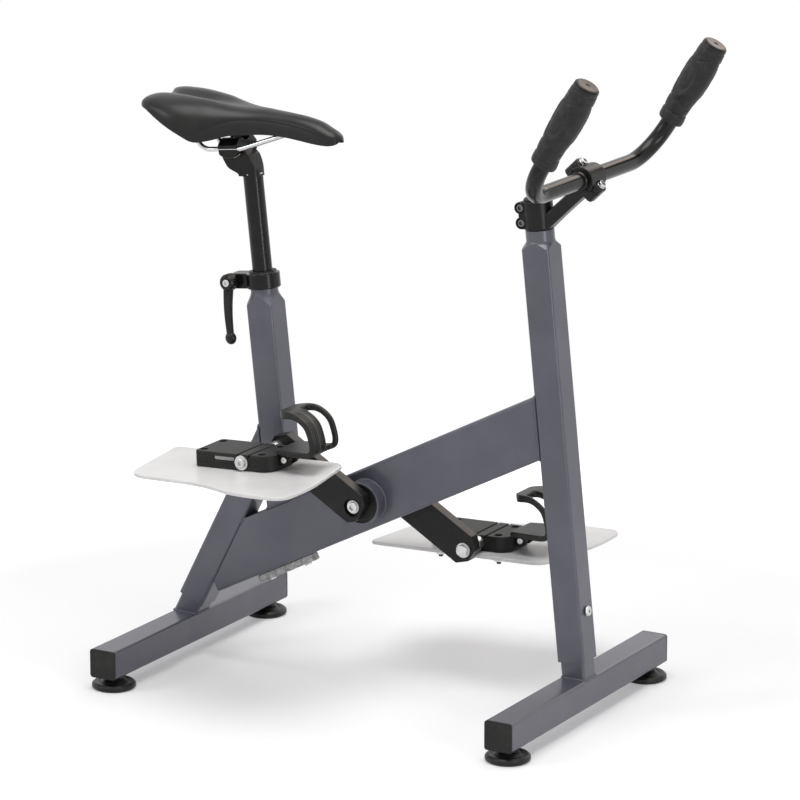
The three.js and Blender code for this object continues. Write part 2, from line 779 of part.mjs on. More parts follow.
function pedalBodyGeometry(sign) {
  const middle = (pedalInner + pedalOuter) / 2;
  const half = (pedalOuter - pedalInner) / 2;
  const outline = easedOutline([
    [-pedalRear, -half, pedalRearCorner],
    [pedalFront, -half, pedalFrontCorner],
    [pedalFront, half, pedalFrontCorner],
    [-pedalRear, half, pedalRearCorner],
  ]);
  let body = extrude(outline, pedalThickness, pedalBevel).translate(0, 0, -pedalThickness / 2);
  const top = pedalThickness / 2;
  for (const offset of [-lugSpread / 2, lugSpread / 2]) {
    const lug = barY(lugDiameter / 2, offset - lugThickness / 2, offset + lugThickness / 2);
    const root = box(-lugDiameter, 0, offset - lugThickness / 2, offset + lugThickness / 2,
      -lugDiameter / 2, lugDiameter / 2);
    const height = clipBase - gap - lugDiameter / 2;
    body = join(body, join(lug, root).translate(pedalFront + lugReach, 0, height));
  }
  const tools = [barY(spindleTipDiameter / 2 + gap, -half - overrun, half + overrun)];
  for (const place of [-grooveRear, grooveFront]) {
    tools.push(box(place - grooveWidth / 2, place + grooveWidth / 2, -pedalOuter, pedalOuter,
      top - grooveDepth, top + overrun));
  }
  const pocketStart = grooveRear + spindleTipDiameter;
  const pocketWidth = half - 2 * pocketRib - pocketRib / 2;
  for (const side of sides) {
    for (const place of [-plateBoltRear, plateBoltFront]) {
      const hole = barZ(plateBoltHole / 2, -pedalThickness, pedalThickness, boltSides);
      tools.push(hole.translate(place, side.sign * plateBoltHalfSpread, 0));
    }
    const pocketEdge = side.sign > 0 ? pocketRib / 2 : -pocketRib / 2 - pocketWidth;
    tools.push(box(plateBoltHole + pocketRib - plateBoltRear, -pocketStart, pocketEdge, pocketEdge + pocketWidth,
      -pedalThickness, pocketDepth - pedalThickness / 2));
  }
  const slotOpening = box(-barSlotRear, -barSlotFront, -barSlotDepth, barSlotDepth, -barSlotHeight / 2, barSlotHeight / 2);
  tools.push(slotOpening.translate(0, sign * half, barSlotRise));
  return cut(body, ...tools).translate(0, sign * middle, 0);
}

// Resistance plate: its outline is given in shares of its length forward and of its width outward
const plateLength = 297;
const plateWidth = 196;
const plateThickness = 5;
const plateRear = 161;
const plateInner = 66;
const plateCorner = 60;
const plateBoltShank = 7;
const plateOutlineShares = [
  [0, 0, 0.2],
  [0.078, 0.8, 0.5],
  [0.49, 0.848, 0.5],
  [0.695, 0.99, 0.5],
  [0.975, 1.01, 0.42],
  [0.985, 0.66, 0.5],
  [0.905, 0, 0.4],
];

function plateGeometry(sign) {
  const outline = easedOutline(plateOutlineShares.map(([along, out, corner]) => [
    along * plateLength - plateRear,
    sign * (plateInner + out * plateWidth),
    corner * plateCorner,
  ]));
  const sheet = extrude(outline, plateThickness, plateThickness / 5);
  const middle = (pedalInner + pedalOuter) / 2;
  const holes = [];
  for (const offset of [-plateBoltHalfSpread, plateBoltHalfSpread]) {
    for (const place of [-plateBoltRear, plateBoltFront]) {
      const hole = barZ(plateBoltShank / 2, -overrun, plateThickness + overrun, boltSides);
      holes.push(hole.translate(place, sign * middle + offset, 0));
    }
  }
  return cut(sheet, ...holes).translate(0, 0, -pedalThickness / 2 - gap - plateThickness);
}

// Toe clip: a strap bent up and back over the toes, with a window beside its broad outer band
const clipThickness = 8;
const clipRear = pedalFront + gap;
const clipFront = 106;
const clipTop = 70;
const clipTip = 52;
const clipWidth = 65;
const clipOuterBand = 43;
const clipInnerBand = 7;
const clipRibPitch = 9;
const clipRibDepth = 1.2;
const clipPathShares = [
  [0, 0],
  [0.5, 0],
  [0.9, 0.01],
  [1, 0.16],
  [0.97, 0.45],
  [0.84, 0.8],
  [0.5, 1.03],
  [0, 1],
];
const clipSteps = 16;

function clipCentreLine() {
  const height = clipTop - clipBase - clipThickness;
  return new THREE.SplineCurve(clipPathShares.map(([along, up], index) => {
    const rear = index < clipPathShares.length / 2 ? clipRear : clipTip;
    return new THREE.Vector2(rear + along * (clipFront - rear), clipBase + clipThickness / 2 + up * height);
  }));
}

// The side view of a strap: its middle line offset by half the thickness on both sides.
function strapOutline(curve, thickness, steps) {
  const outer = [];
  const inner = [];
  for (let step = 0; step <= steps; step += 1) {
    const point = curve.getPointAt(step / steps);
    const tangent = curve.getTangentAt(step / steps);
    const normal = new THREE.Vector2(tangent.y, -tangent.x).multiplyScalar(thickness / 2);
    outer.push(point.clone().add(normal));
    inner.unshift(point.clone().sub(normal));
  }
  return new THREE.Shape([...outer, ...inner]);
}

function toeClipGeometry(sign) {
  const strap = sideExtrude(strapOutline(clipCentreLine(), clipThickness, clipSteps), clipWidth);
  const half = clipWidth / 2;
  const plan = easedOutline([
    [clipFront + clipThickness, -half, clipWidth / 4],
    [clipFront + clipThickness, half, clipWidth / 4],
    [clipTip - clipThickness, half, clipWidth / 6],
    [clipTip - clipThickness, -half, clipWidth / 6],
  ]);
  const trimmed = common(strap, extrude(plan, clipTop + clipWidth));
  const inside = -sign * half;
  const windowNear = inside + sign * clipInnerBand;
  const windowFar = sign * (half - clipOuterBand);
  const windowTool = box(clipTip + clipThickness, clipFront + 2 * clipThickness,
    Math.min(windowNear, windowFar), Math.max(windowNear, windowFar),
    clipBase + clipThickness + clipThickness / 2, clipTop + clipThickness);
  const ribs = [];
  for (let rib = 1; rib * clipRibPitch < clipOuterBand; rib += 1) {
    const place = sign * (half - rib * clipRibPitch);
    ribs.push(box(clipFront - clipThickness / 2, clipFront + clipThickness, place - clipRibDepth / 2,
      place + clipRibDepth / 2, clipBase + 2 * clipThickness, clipTop - 2 * clipThickness));
  }
  const middle = sign * (pedalInner + clipWidth / 2);
  return cut(trimmed, windowTool, ...ribs).translate(0, middle, 0);
}

// Pedals stand nearly level: their pitch is nose up
const pedalPitch = { right: 2.5, left: 1.5 };

function addPedal(parent, side, frame) {
  const group = groupAt({ ...frame, turn: radians(-pedalPitch[side.name]) }, `pedal_${side.name}_pivot`);
  parent.add(group);
  addPiece(group, `pedal_body_${side.name}`, pedalBodyGeometry(side.sign), 'blackPlastic');
  addPiece(group, `resistance_plate_${side.name}`, plateGeometry(side.sign), 'polymer');
  addPiece(group, `toe_clip_${side.name}`, toeClipGeometry(side.sign), 'blackPlastic');
}

function addCrankSet(parent) {
  const group = groupAt({ x: crankForward, z: crankHeight, turn: 0 }, 'crank_pivot');
  parent.add(group);
  addPiece(group, 'crank_shell', crankShellGeometry(), 'paint');
  addPiece(group, 'crank_axle', axleGeometry(), 'steel').rotation.y = radians(crankSlope);
  for (const side of sides) {
    const bearing = addPiece(group, `crank_bearing_${side.name}`, bearingGeometry(), 'blackPlastic');
    bearing.position.y = side.sign * (crankShellHalf - bearingRecess - bearingWidth / 2);
    const mirror = side.sign > 0 ? 0 : Math.PI;
    const turn = radians(crankSlope) + mirror;
    const arm = addPiece(group, `crank_arm_${side.name}`, crankArmGeometry().rotateX(mirror), 'blackPaint');
    arm.rotation.y = turn;
    addPiece(group, `crank_bolt_${side.name}`, crankBoltGeometry().rotateX(mirror), 'steel');
    const reach = side.sign * crankRadius;
    const place = { x: reach * Math.cos(radians(crankSlope)), z: -reach * Math.sin(radians(crankSlope)) };
    const spindle = addPiece(group, `pedal_spindle_${side.name}`, pedalSpindleGeometry().rotateX(mirror), 'steel');
    spindle.position.set(place.x, 0, place.z);
    const endBolt = addPiece(group, `pedal_end_bolt_${side.name}`, pedalEndBoltGeometry().rotateX(mirror), 'steel');
    endBolt.position.set(place.x, 0, place.z);
    addPedal(group, side, place);
  }
}

// Seat clamp on the neck of the seat tube, closed by a hanging lever
const collarHeight = 21;
const collarRadius = 23;
const collarDrop = 1;
const studSetback = 43;
const earHalf = 12;
const studDiameter = 8;
const studHeadDiameter = 16;
const studHeadHeight = 5;
const hubRadius = 11;
const hubEnd = 28;
const leverReach = 77;
const leverWidth = 15;
const leverTipWidth = 9;
const leverThickness = 9;
const leverBallRadius = 8;
const hubFaceShare = 0.8;
const leverScrewHead = 10;
const leverScrewHeadHeight = 3.5;
const leverScrewShank = 4;
const leverScrewReach = 10;

const collarTop = seatTubeTop - seatShoulder + seatNeckTop - collarDrop;
const collarMiddle = collarTop - collarHeight / 2;

function collarGeometry() {
  const ring = barZ(collarRadius, -collarHeight / 2, collarHeight / 2, wheelSides);
  const earEnd = barY(collarHeight / 2, -earHalf, earHalf).translate(-studSetback, 0, 0);
  const ears = box(-studSetback, 0, -earHalf, earHalf, -collarHeight / 2, collarHeight / 2);
  const bore = barZ(seatNeckDiameter / 2 + gap, -collarHeight, collarHeight, wheelSides);
  const slot = box(-2 * studSetback, 0, -seatSlotWidth / 2, seatSlotWidth / 2, -collarHeight, collarHeight);
  const stud = barY(studDiameter / 2 + gap, -2 * earHalf, 2 * earHalf).translate(-studSetback, 0, 0);
  return cut(join(ring, ears, earEnd), bore, slot, stud);
}

function clampStudGeometry() {
  const head = turnedY([
    [0, earHalf + gap],
    [studHeadDiameter / 2, earHalf + gap],
    [studHeadDiameter / 2, earHalf + studHeadHeight / 2],
    [studHeadDiameter / 3, earHalf + studHeadHeight],
    [0, earHalf + studHeadHeight],
  ]);
  const tip = leverScrewReach - hubEnd;
  return join(head, barY(studDiameter / 2, tip, earHalf + studHeadHeight / 2));
}

function leverGeometry() {
  const hubStart = earHalf + gap;
  const hub = turnedY([
    [0, -hubEnd],
    [hubRadius * hubFaceShare, -hubEnd],
    [hubRadius, -hubEnd + hubRadius / 4],
    [hubRadius, -hubStart],
    [0, -hubStart],
  ], wheelSides);
  const middle = -(hubStart + hubEnd) / 2;
  const handle = new THREE.Shape([
    new THREE.Vector2(-leverWidth / 2, 0),
    new THREE.Vector2(-leverTipWidth / 2, -leverReach),
    new THREE.Vector2(leverTipWidth / 2, -leverReach),
    new THREE.Vector2(leverWidth / 2, 0),
  ]);
  const arm = sideExtrude(handle, leverThickness, leverThickness / 4).translate(0, middle, 0);
  const ball = new THREE.SphereGeometry(leverBallRadius, boltSides, boltSides / 2);
  const studBore = barY(studDiameter / 2 + gap, leverScrewReach - hubEnd - gap, 0);
  const screwBore = barY(leverScrewShank / 2 + gap, -hubEnd - overrun, 0, boltSides);
  const screwSeat = barY(leverScrewHead / 2 + gap, -hubEnd - overrun, leverScrewHeadHeight - hubEnd);
  return cut(join(hub, arm, ball.translate(0, middle, -leverReach)), studBore, screwBore, screwSeat);
}

function leverScrewGeometry() {
  const seat = leverScrewHeadHeight - hubEnd - gap;
  const head = barY(leverScrewHead / 2, seat - leverScrewHeadHeight, seat);
  return join(head, barY(leverScrewShank / 2, seat - leverScrewHeadHeight / 2, leverScrewReach - hubEnd - 2 * gap,
    boltSides));
}

const shimLength = 60;
const shimFlange = 1.6;

function shimGeometry() {
  const profile = [
    [shimRadius, -shimLength],
    [shimRadius, gap],
    [seatNeckDiameter / 2, gap],
    [seatNeckDiameter / 2, shimFlange],
    [shimBore, shimFlange],
    [shimBore, -shimLength],
  ];
  return turnedZ([...profile, profile[0]], wheelSides);
}

// Seat post with a laid-back head whose hollow seat lets the saddle cradle rock
const seatPostWall = 2.4;
const seatPostInsertion = 190;
const seatPostVisible = 135;
const railHeight = 172;
const headLayback = 20;
const headHalfWidth = 14;
const headFrontRound = 12;
const headReach = 18;
const headBevel = 1.5;
const cradleArcRadius = 21.3;
const cradleArcRise = 8.6;
const railRadius = 3.5;
const railHalfSpread = 22;
const cradleHalfLength = 15;
const cradleHalfWidth = 26;
const clampAboveRail = 14;
const clampBoltShank = 8;
const clampBoltHead = 12;
const clampBoltHeadHeight = 8;
const boltSeatRadius = 31.6;
const tiltRange = 6;
// Corners of the head's side view as shares of its reach forward of the clamp and of its height
const headNoseShares = [1.39, 0.77];
const headNoseFootShare = 0.12;
const headBackShares = [0.92, 0.68];
const headBellyShares = [0.56, 0.18];

const tiltHeight = railHeight + cradleArcRise;
const cradleSeatRadius = cradleArcRadius + gap;

function headProfile() {
  const radius = seatPostDiameter / 2;
  const headTop = tiltHeight - Math.sqrt(cradleSeatRadius ** 2 - headReach ** 2);
  const headHeight = headTop - seatPostVisible;
  const level = (share) => seatPostVisible + share * headHeight;
  const place = (share) => share * headReach - headLayback;
  const profile = new THREE.Shape();
  profile.moveTo(radius, seatPostVisible - seatPostWall);
  profile.lineTo(radius, level(headNoseFootShare));
  profile.lineTo(place(headNoseShares[0]), level(headNoseShares[1]));
  profile.lineTo(place(1), headTop);
  profile.lineTo(place(-1), headTop);
  profile.lineTo(place(-headBackShares[0]), level(headBackShares[1]));
  profile.quadraticCurveTo(place(-headBellyShares[0]), level(headBellyShares[1]), -radius, seatPostVisible);
  profile.lineTo(-radius, seatPostVisible - seatPostWall);
  return profile;
}

// The bolt swings with the cradle, so its slot and its pocket are wider than the bolt along the post's plane.
function boltSwingTools() {
  const turn = Math.sin(radians(tiltRange));
  const headFoot = boltSeatRadius + gap + clampBoltHeadHeight;
  const slotHalf = boltSeatRadius * turn + clampBoltShank / 2 + gap;
  const pocketHalf = headFoot * turn + clampBoltHead / 2 + gap;
  const pocketHalfWidth = clampBoltHead / 2 + 2 * gap;
  const shankHalf = clampBoltShank / 2 + gap;
  const slot = box(-slotHalf, slotHalf, -shankHalf, shankHalf, -headFoot, 0);
  const pocketFloor = -Math.hypot(headFoot, clampBoltHead / 2) - gap;
  const pocket = box(-pocketHalf, pocketHalf, -pocketHalfWidth, pocketHalfWidth, pocketFloor, 0);
  const roof = barY(boltSeatRadius, -railHalfSpread, railHalfSpread, 2 * wheelSides);
  const access = barZ(clampBoltHead / 2 + gap, -2 * headFoot, pocketFloor + gap, boltSides);
  return [slot, cut(pocket, roof), access].map((tool) => tool.translate(-headLayback, 0, tiltHeight));
}

function seatPostGeometry() {
  const radius = seatPostDiameter / 2;
  const tube = barZ(radius, -seatPostInsertion, seatPostVisible, wheelSides);
  const farBack = 2 * headLayback + radius;
  const plan = extrude(easedOutline([
    [radius, -headHalfWidth, headFrontRound],
    [radius, headHalfWidth, headFrontRound],
    [-farBack, headHalfWidth, 0],
    [-farBack, -headHalfWidth, 0],
  ]), railHeight);
  const head = common(sideExtrude(headProfile(), 2 * headHalfWidth, headBevel), plan);
  const seat = barY(cradleSeatRadius, -railHalfSpread, railHalfSpread, 2 * wheelSides);
  const bore = barZ(radius - seatPostWall, -seatPostInsertion - overrun, seatPostVisible - radius);
  const seatTool = seat.translate(-headLayback, 0, tiltHeight);
  return cut(join(tube, head), seatTool, bore, ...boltSwingTools());
}

function railGrooves() {
  return sides.map((side) => {
    const groove = barX(railRadius + gap, -cradleHalfLength - overrun, cradleHalfLength + overrun, boltSides);
    return groove.translate(0, side.sign * railHalfSpread, 0);
  });
}

function cradleGeometry() {
  const block = box(-cradleHalfLength, cradleHalfLength, -cradleHalfWidth, cradleHalfWidth, -cradleArcRadius, -gap);
  const rocker = barY(cradleArcRadius, -cradleHalfWidth, cradleHalfWidth, 2 * wheelSides);
  const bolt = barZ(clampBoltShank / 2 + gap, -2 * cradleArcRadius, cradleArcRadius, boltSides);
  return cut(common(block, rocker.translate(0, 0, cradleArcRise)), bolt, ...railGrooves());
}

function upperClampGeometry() {
  const shoulder = railHalfSpread - railRadius;
  const half = [
    [cradleHalfWidth, gap],
    [cradleHalfWidth, railRadius],
    [shoulder, (railRadius + clampAboveRail) / 2],
    [clampBoltHead, clampAboveRail],
  ];
  const outline = [...half, ...half.map(([out, up]) => [-out, up]).reverse()];
  const shape = new THREE.Shape(outline.map(([out, up]) => new THREE.Vector2(out, up)));
  const bar = extrude(shape, 2 * cradleHalfLength, headBevel / 2).rotateX(Math.PI / 2);
  const plate = bar.translate(0, cradleHalfLength, 0).rotateZ(Math.PI / 2);
  const bolt = barZ(clampBoltShank / 2 + gap, -clampAboveRail, 2 * clampAboveRail, boltSides);
  return cut(plate, bolt, ...railGrooves());
}

function saddleClampBoltGeometry() {
  const seat = cradleArcRise - boltSeatRadius - gap;
  const head = barZ(clampBoltHead / 2, seat - clampBoltHeadHeight, seat, boltSides);
  return join(head, barZ(clampBoltShank / 2, seat - clampBoltHeadHeight / 2, clampAboveRail, boltSides));
}

// Saddle: the cover and the shell share one skin, given at stations along the saddle
const saddleLength = 289;
const saddleHalfWidth = 68;
const saddleHeight = 60;
const saddleTail = 126;
const saddleLow = 12;
const saddleNotch = 22;
const saddleNotchHalfWidth = 22;
const valleyHalfWidth = 17;
const valleyShare = 0.38;
const valleyEndShare = 0.6;
const skinRoundness = 0.62;
const skinSteps = 13;
// Each row: place from the tail, half width, crown height and edge height, as shares
const saddleStationShares = [
  [0, 0.57, 0.8, 0.7],
  [0.02, 0.75, 0.91, 0.68],
  [0.066, 0.88, 0.965, 0.62],
  [0.13, 0.96, 0.985, 0.46],
  [0.19, 1, 0.985, 0.31],
  [0.25, 0.98, 0.97, 0.16],
  [0.32, 0.9, 0.945, 0],
  [0.39, 0.77, 0.87, 0.04],
  [0.46, 0.62, 0.8, 0.14],
  [0.54, 0.48, 0.75, 0.18],
  [0.63, 0.38, 0.71, 0.21],
  [0.72, 0.33, 0.675, 0.2],
  [0.81, 0.305, 0.62, 0.15],
  [0.89, 0.275, 0.52, 0.1],
  [0.95, 0.22, 0.36, 0.09],
  [0.985, 0.14, 0.24, 0.11],
  [1, 0.06, 0.18, 0.14],
];
const coverInnerWidthShare = 0.9;
const coverInnerHeightShare = 0.74;
const shellInnerWidthShare = 0.84;
const shellInnerHeightShare = 0.64;

// Half of a saddle section from the left edge to the right: an arch with a valley between two lobes.
function archPoints(station, widthShare, heightShare, inset) {
  const [along, wide, crown, edge] = station;
  const low = saddleLow + edge * saddleHeight;
  const rise = (crown - edge) * saddleHeight * heightShare - inset;
  const half = wide * saddleHalfWidth * widthShare - inset;
  const depth = valleyShare * Math.max(0, 1 - along / valleyEndShare);
  const points = [];
  for (let step = 0; step <= skinSteps; step += 1) {
    const angle = Math.PI * step / skinSteps;
    const place = wide * saddleHalfWidth * Math.cos(angle);
    const valley = depth * Math.exp(-((place / valleyHalfWidth) ** 2));
    const tail = Math.exp(-along * saddleLength / saddleNotch);
    const notch = saddleNotch * Math.exp(-((place / saddleNotchHalfWidth) ** 2)) * tail;
    const z = low + rise * (1 - valley) * Math.abs(Math.sin(angle)) ** skinRoundness;
    points.push(new THREE.Vector3(along * saddleLength - saddleTail + notch, half * Math.cos(angle), z));
  }
  return points;
}

function skinGeometry(stations, outerShares, innerShares, inset) {
  const rings = stations.map((station) => [
    ...archPoints(station, outerShares[0], outerShares[1], inset),
    ...archPoints(station, innerShares[0], innerShares[1], 0).reverse(),
  ]);
  return loft(rings);
}

function saddleCoverGeometry() {
  return skinGeometry(saddleStationShares, [1, 1], [coverInnerWidthShare, coverInnerHeightShare], 0);
}

const railBendRear = 40;
const railBendFront = 20;
const railBendSetback = 5;
const railTailReach = 32;
const railTailRise = 50;
const railTailSpread = 6;
const railNoseReach = 76;
const railNoseRise = 19;
const railNoseHalfSpread = 13;
const railTipReach = 102;
const railTipHalfSpread = 9;
const railNoseSetback = 8;
const railSides = 8;
const railBendSteps = 3;

function railLine() {
  const end = new THREE.Vector3(-railBendRear - railTailReach, railHalfSpread + railTailSpread, railTailRise);
  const half = [
    { point: new THREE.Vector3(-railBendRear, railHalfSpread, 0), setback: railBendSetback },
    { point: new THREE.Vector3(railBendFront, railHalfSpread, 0), setback: railBendSetback },
    {
      point: new THREE.Vector3(railBendFront + railNoseReach, railNoseHalfSpread, railNoseRise),
      setback: railNoseSetback,
    },
    {
      point: new THREE.Vector3(railBendFront + railTipReach, railTipHalfSpread, railNoseRise),
      setback: railNoseSetback,
    },
  ];
  const mirrored = (point) => new THREE.Vector3(point.x, -point.y, point.z);
  const other = half.map(({ point, setback }) => ({ point: mirrored(point), setback })).reverse();
  return easedLine(end, [...half, ...other], mirrored(end), railBendSteps);
}

function railsGeometry(radius) {
  return sweep(new THREE.Shape().absarc(0, 0, radius, 0, 2 * Math.PI, false), railLine(), railSides);
}

// The shell grips the rails in two tail sockets and one block under the nose
const socketRadius = 8;
const socketBelow = 7;
const socketAbove = 22;
const noseBlockForward = 112;
const noseBlockHalfLength = 14;
const noseBlockHalfWidth = 10;
const noseBlockHeight = 40;
const noseBlockDepth = 16;

function filledSkin(stations, shares, inset) {
  const rings = stations.map((station) => {
    const arch = archPoints(station, shares[0], shares[1], inset);
    const below = arch.map((point) => new THREE.Vector3(point.x, point.y, -saddleHeight));
    return [...arch, ...below.reverse()];
  });
  return loft(rings);
}

function saddleShellGeometry() {
  const stations = saddleStationShares.slice(2, -2);
  const outer = [coverInnerWidthShare, coverInnerHeightShare];
  const inner = [shellInnerWidthShare, shellInnerHeightShare];
  const filled = filledSkin(stations, outer, gap);
  const leaning = radians(-frameLean);
  const rails = railsGeometry(railRadius + gap).rotateY(leaning);
  const block = box(-noseBlockHalfLength, noseBlockHalfLength, -noseBlockHalfWidth, noseBlockHalfWidth,
    -noseBlockDepth, noseBlockDepth).translate(noseBlockForward, 0, noseBlockHeight);
  let shell = join(skinGeometry(stations, outer, inner, gap), common(block, filled));
  for (const side of sides) {
    const end = railLine().at(side.sign > 0 ? 0 : -1);
    const socket = barZ(socketRadius, -socketBelow, socketAbove).translate(end.x, end.y, end.z).rotateY(leaning);
    const tip = new THREE.SphereGeometry(railRadius + 2 * gap, railSides, railSides / 2);
    shell = join(shell, common(socket, filled));
    shell = cut(shell, tip.translate(end.x, end.y, end.z).rotateY(leaning));
  }
  return cut(shell, rails);
}

// Stem, faceplate and handlebar
const stemClampRadius = 20;
const stemClampHeight = 38;
const stemBarForward = 75.4;
const stemBarHeight = 65.3;
const stemArmFootForward = 12;
const stemArmFootHeight = 8;
const stemArmHeadSetback = 3.4;
const stemArmHeadDrop = 11.8;
const stemArmHalfWidth = 11;
const stemArmHalfHeight = 9.5;
const stemArmFlareShare = 1.2;
const stemEarDepth = 15;
const stemSlotWidth = 2;
const pinchSetback = 19;
const pinchLow = 9.5;
const pinchHigh = 29.5;
const pinchBossRadius = 8;
const pinchHalfWidth = 15.5;
const pinchWebReach = 23;
const pinchWebHalfWidth = 13;
const pinchShank = 6;
const pinchHead = 10;
const pinchHeadHeight = 6;
const barClampDiameter = 25.4;
const barClampWall = 5.5;
const barClampHalfWidth = 20;
const faceplateTurn = 44;
const faceplateGap = 1.2;
const faceplateBoltSpread = 19.2;
const faceplateEarHalf = 8;
const faceplateEarDepth = 9;
const faceplateBoltShank = 6;
const faceplateBoltHead = 10;
const faceplateBoltHeadHeight = 5;
const faceplateBoltReach = 20;

const barFrame = { x: stemBarForward, z: stemBarHeight, turn: radians(frameLean - faceplateTurn) };

function barClampRing() {
  return barY(barClampDiameter / 2 + barClampWall, -barClampHalfWidth, barClampHalfWidth, wheelSides);
}

function barClampBore() {
  return barY(barClampDiameter / 2 + gap, -2 * barClampHalfWidth, 2 * barClampHalfWidth, wheelSides);
}

function clampEars(fromX, toX) {
  return sides.map((side) => {
    const middle = side.sign * faceplateBoltSpread;
    return box(fromX, toX, -faceplateEarHalf, faceplateEarHalf, middle - faceplateEarHalf, middle + faceplateEarHalf);
  });
}

function faceplateBoltHoles() {
  return sides.map((side) => {
    const hole = barX(faceplateBoltShank / 2 + gap, -2 * faceplateBoltReach, 2 * faceplateBoltReach, boltSides);
    return hole.translate(0, 0, side.sign * faceplateBoltSpread);
  });
}

function faceplateGeometry() {
  const farAway = 3 * barClampHalfWidth;
  const body = join(barClampRing(), ...clampEars(0, faceplateEarDepth));
  const rear = box(-farAway, faceplateGap / 2, -farAway, farAway, -farAway, farAway);
  const seats = sides.map((side) => {
    const seat = barX(faceplateBoltHead / 2 + gap, faceplateEarDepth, farAway, boltSides);
    return seat.translate(0, 0, side.sign * faceplateBoltSpread);
  });
  return cut(body, rear, barClampBore(), ...faceplateBoltHoles(), ...seats);
}

function faceplateBoltGeometry() {
  const seat = faceplateEarDepth + gap;
  const head = barX(faceplateBoltHead / 2, seat, seat + faceplateBoltHeadHeight, boltSides);
  return join(head, barX(faceplateBoltShank / 2, seat - faceplateBoltReach, seat + faceplateBoltHeadHeight / 2,
    boltSides));
}

function stemArmGeometry() {
  const start = new THREE.Vector2(stemArmFootForward, stemArmFootHeight);
  const end = new THREE.Vector2(stemBarForward - stemArmHeadSetback, stemBarHeight - stemArmHeadDrop);
  const length = start.distanceTo(end);
  const slope = Math.atan2(end.y - start.y, end.x - start.x);
  const flared = stemArmHalfWidth * stemArmFlareShare;
  const arm = loft([
    roundedRing(stemArmHalfHeight, flared, stemArmHalfHeight / 2, 0),
    roundedRing(stemArmHalfHeight, stemArmHalfWidth, stemArmHalfHeight / 2, length / 2),
    roundedRing(stemArmHalfHeight, flared, stemArmHalfHeight / 2, length),
  ]);
  return arm.rotateY(Math.PI / 2 - slope).translate(start.x, 0, start.y);
}

function pinchBossGeometry(height) {
  const boss = barY(pinchBossRadius, -pinchHalfWidth, pinchHalfWidth).translate(-pinchSetback, 0, height);
  const root = box(-pinchSetback, 0, -pinchHalfWidth, pinchHalfWidth, height - pinchBossRadius, height + pinchBossRadius);
  return join(boss, root);
}

function pinchHoleGeometry(height) {
  const hole = barY(pinchShank / 2 + gap, -2 * pinchHalfWidth, 2 * pinchHalfWidth, boltSides);
  const seat = barY(pinchHead / 2 + gap, -2 * pinchHalfWidth, pinchHeadHeight + gap - pinchHalfWidth, boltSides);
  return join(hole, seat).translate(-pinchSetback, 0, height);
}

function stemGeometry() {
  const farAway = 3 * barClampHalfWidth;
  const heights = [pinchLow, pinchHigh];
  const clamp = barZ(stemClampRadius, 0, stemClampHeight, wheelSides);
  const web = box(-pinchWebReach, 0, -pinchWebHalfWidth, pinchWebHalfWidth, pinchLow, pinchHigh);
  const barBlock = fromFrame(barFrame, join(barClampRing(), ...clampEars(-stemEarDepth, 0)));
  const body = join(clamp, web, ...heights.map(pinchBossGeometry), stemArmGeometry(), barBlock);
  const faceSide = box(-faceplateGap / 2, farAway, -farAway, farAway, -farAway, farAway);
  const barTools = [barClampBore(), ...faceplateBoltHoles(), faceSide].map((tool) => fromFrame(barFrame, tool));
  const steererBore = barZ(steererDiameter / 2 + gap, -overrun, stemClampHeight + farAway, wheelSides);
  const slot = box(-2 * pinchSetback, 0, -stemSlotWidth / 2, stemSlotWidth / 2, -overrun, stemClampHeight + overrun);
  const capSeat = barZ(stemCapRadius + gap, stemClampHeight, 2 * stemClampHeight, wheelSides);
  return cut(body, ...barTools, steererBore, slot, capSeat, ...heights.map(pinchHoleGeometry));
}

function pinchBoltGeometry() {
  const face = gap - pinchHalfWidth;
  const head = barY(pinchHead / 2, face, face + pinchHeadHeight - gap, boltSides);
  return join(head, barY(pinchShank / 2, face + pinchHeadHeight / 2, pinchHalfWidth, boltSides));
}

const stemCapRadius = 18;
const stemCapHeight = 4;
const stemCapPlug = 10;

function stemCapGeometry() {
  const plugRadius = steererDiameter / 2 - steererWall - gap;
  return turnedZ([
    [0, -stemCapPlug],
    [plugRadius, -stemCapPlug],
    [plugRadius, 0],
    [stemCapRadius, 0],
    [stemCapRadius, stemCapHeight / 2],
    [stemCapRadius - stemCapHeight / 2, stemCapHeight],
    [0, stemCapHeight],
  ], wheelSides);
}

// Handlebar: straight across the stem, then two bends into the grips
const barHalfSpan = 177;
const barBendRadius = 58;
const barRise = 180;
const gripLean = 30.7;
const gripSplay = 1.5;
const handlebarWall = 2.2;
const handlebarSleeve = 46;
const handlebarSides = 10;
const handlebarBendSteps = 7;
const gripStart = 60;
const gripLength = 120;

function gripDirection(sign) {
  const flat = Math.sin(radians(gripSplay));
  const rest = Math.cos(radians(gripSplay));
  return new THREE.Vector3(rest * Math.sin(radians(gripLean)), sign * flat, rest * Math.cos(radians(gripLean)));
}

function handlebarLine() {
  const setback = barBendRadius * Math.tan(radians(90 - gripSplay) / 2);
  const corners = sides.map((side) => ({ point: new THREE.Vector3(0, side.sign * barHalfSpan, 0), setback }));
  const ends = sides.map((side, index) => {
    return corners[index].point.clone().addScaledVector(gripDirection(side.sign), barRise);
  });
  return easedLine(ends[0], corners, ends[1], handlebarBendSteps);
}

function handlebarGeometry() {
  const outline = new THREE.Shape().absarc(0, 0, handlebarDiameter / 2, 0, 2 * Math.PI, false);
  const bore = new THREE.Path().absarc(0, 0, handlebarDiameter / 2 - handlebarWall, 0, 2 * Math.PI, true);
  outline.holes.push(bore);
  const tube = sweep(outline, handlebarLine(), handlebarSides);
  const sleeve = ringY(barClampDiameter / 2, handlebarDiameter / 2 - handlebarWall / 2, -handlebarSleeve / 2,
    handlebarSleeve / 2, wheelSides);
  return join(tube, sleeve);
}

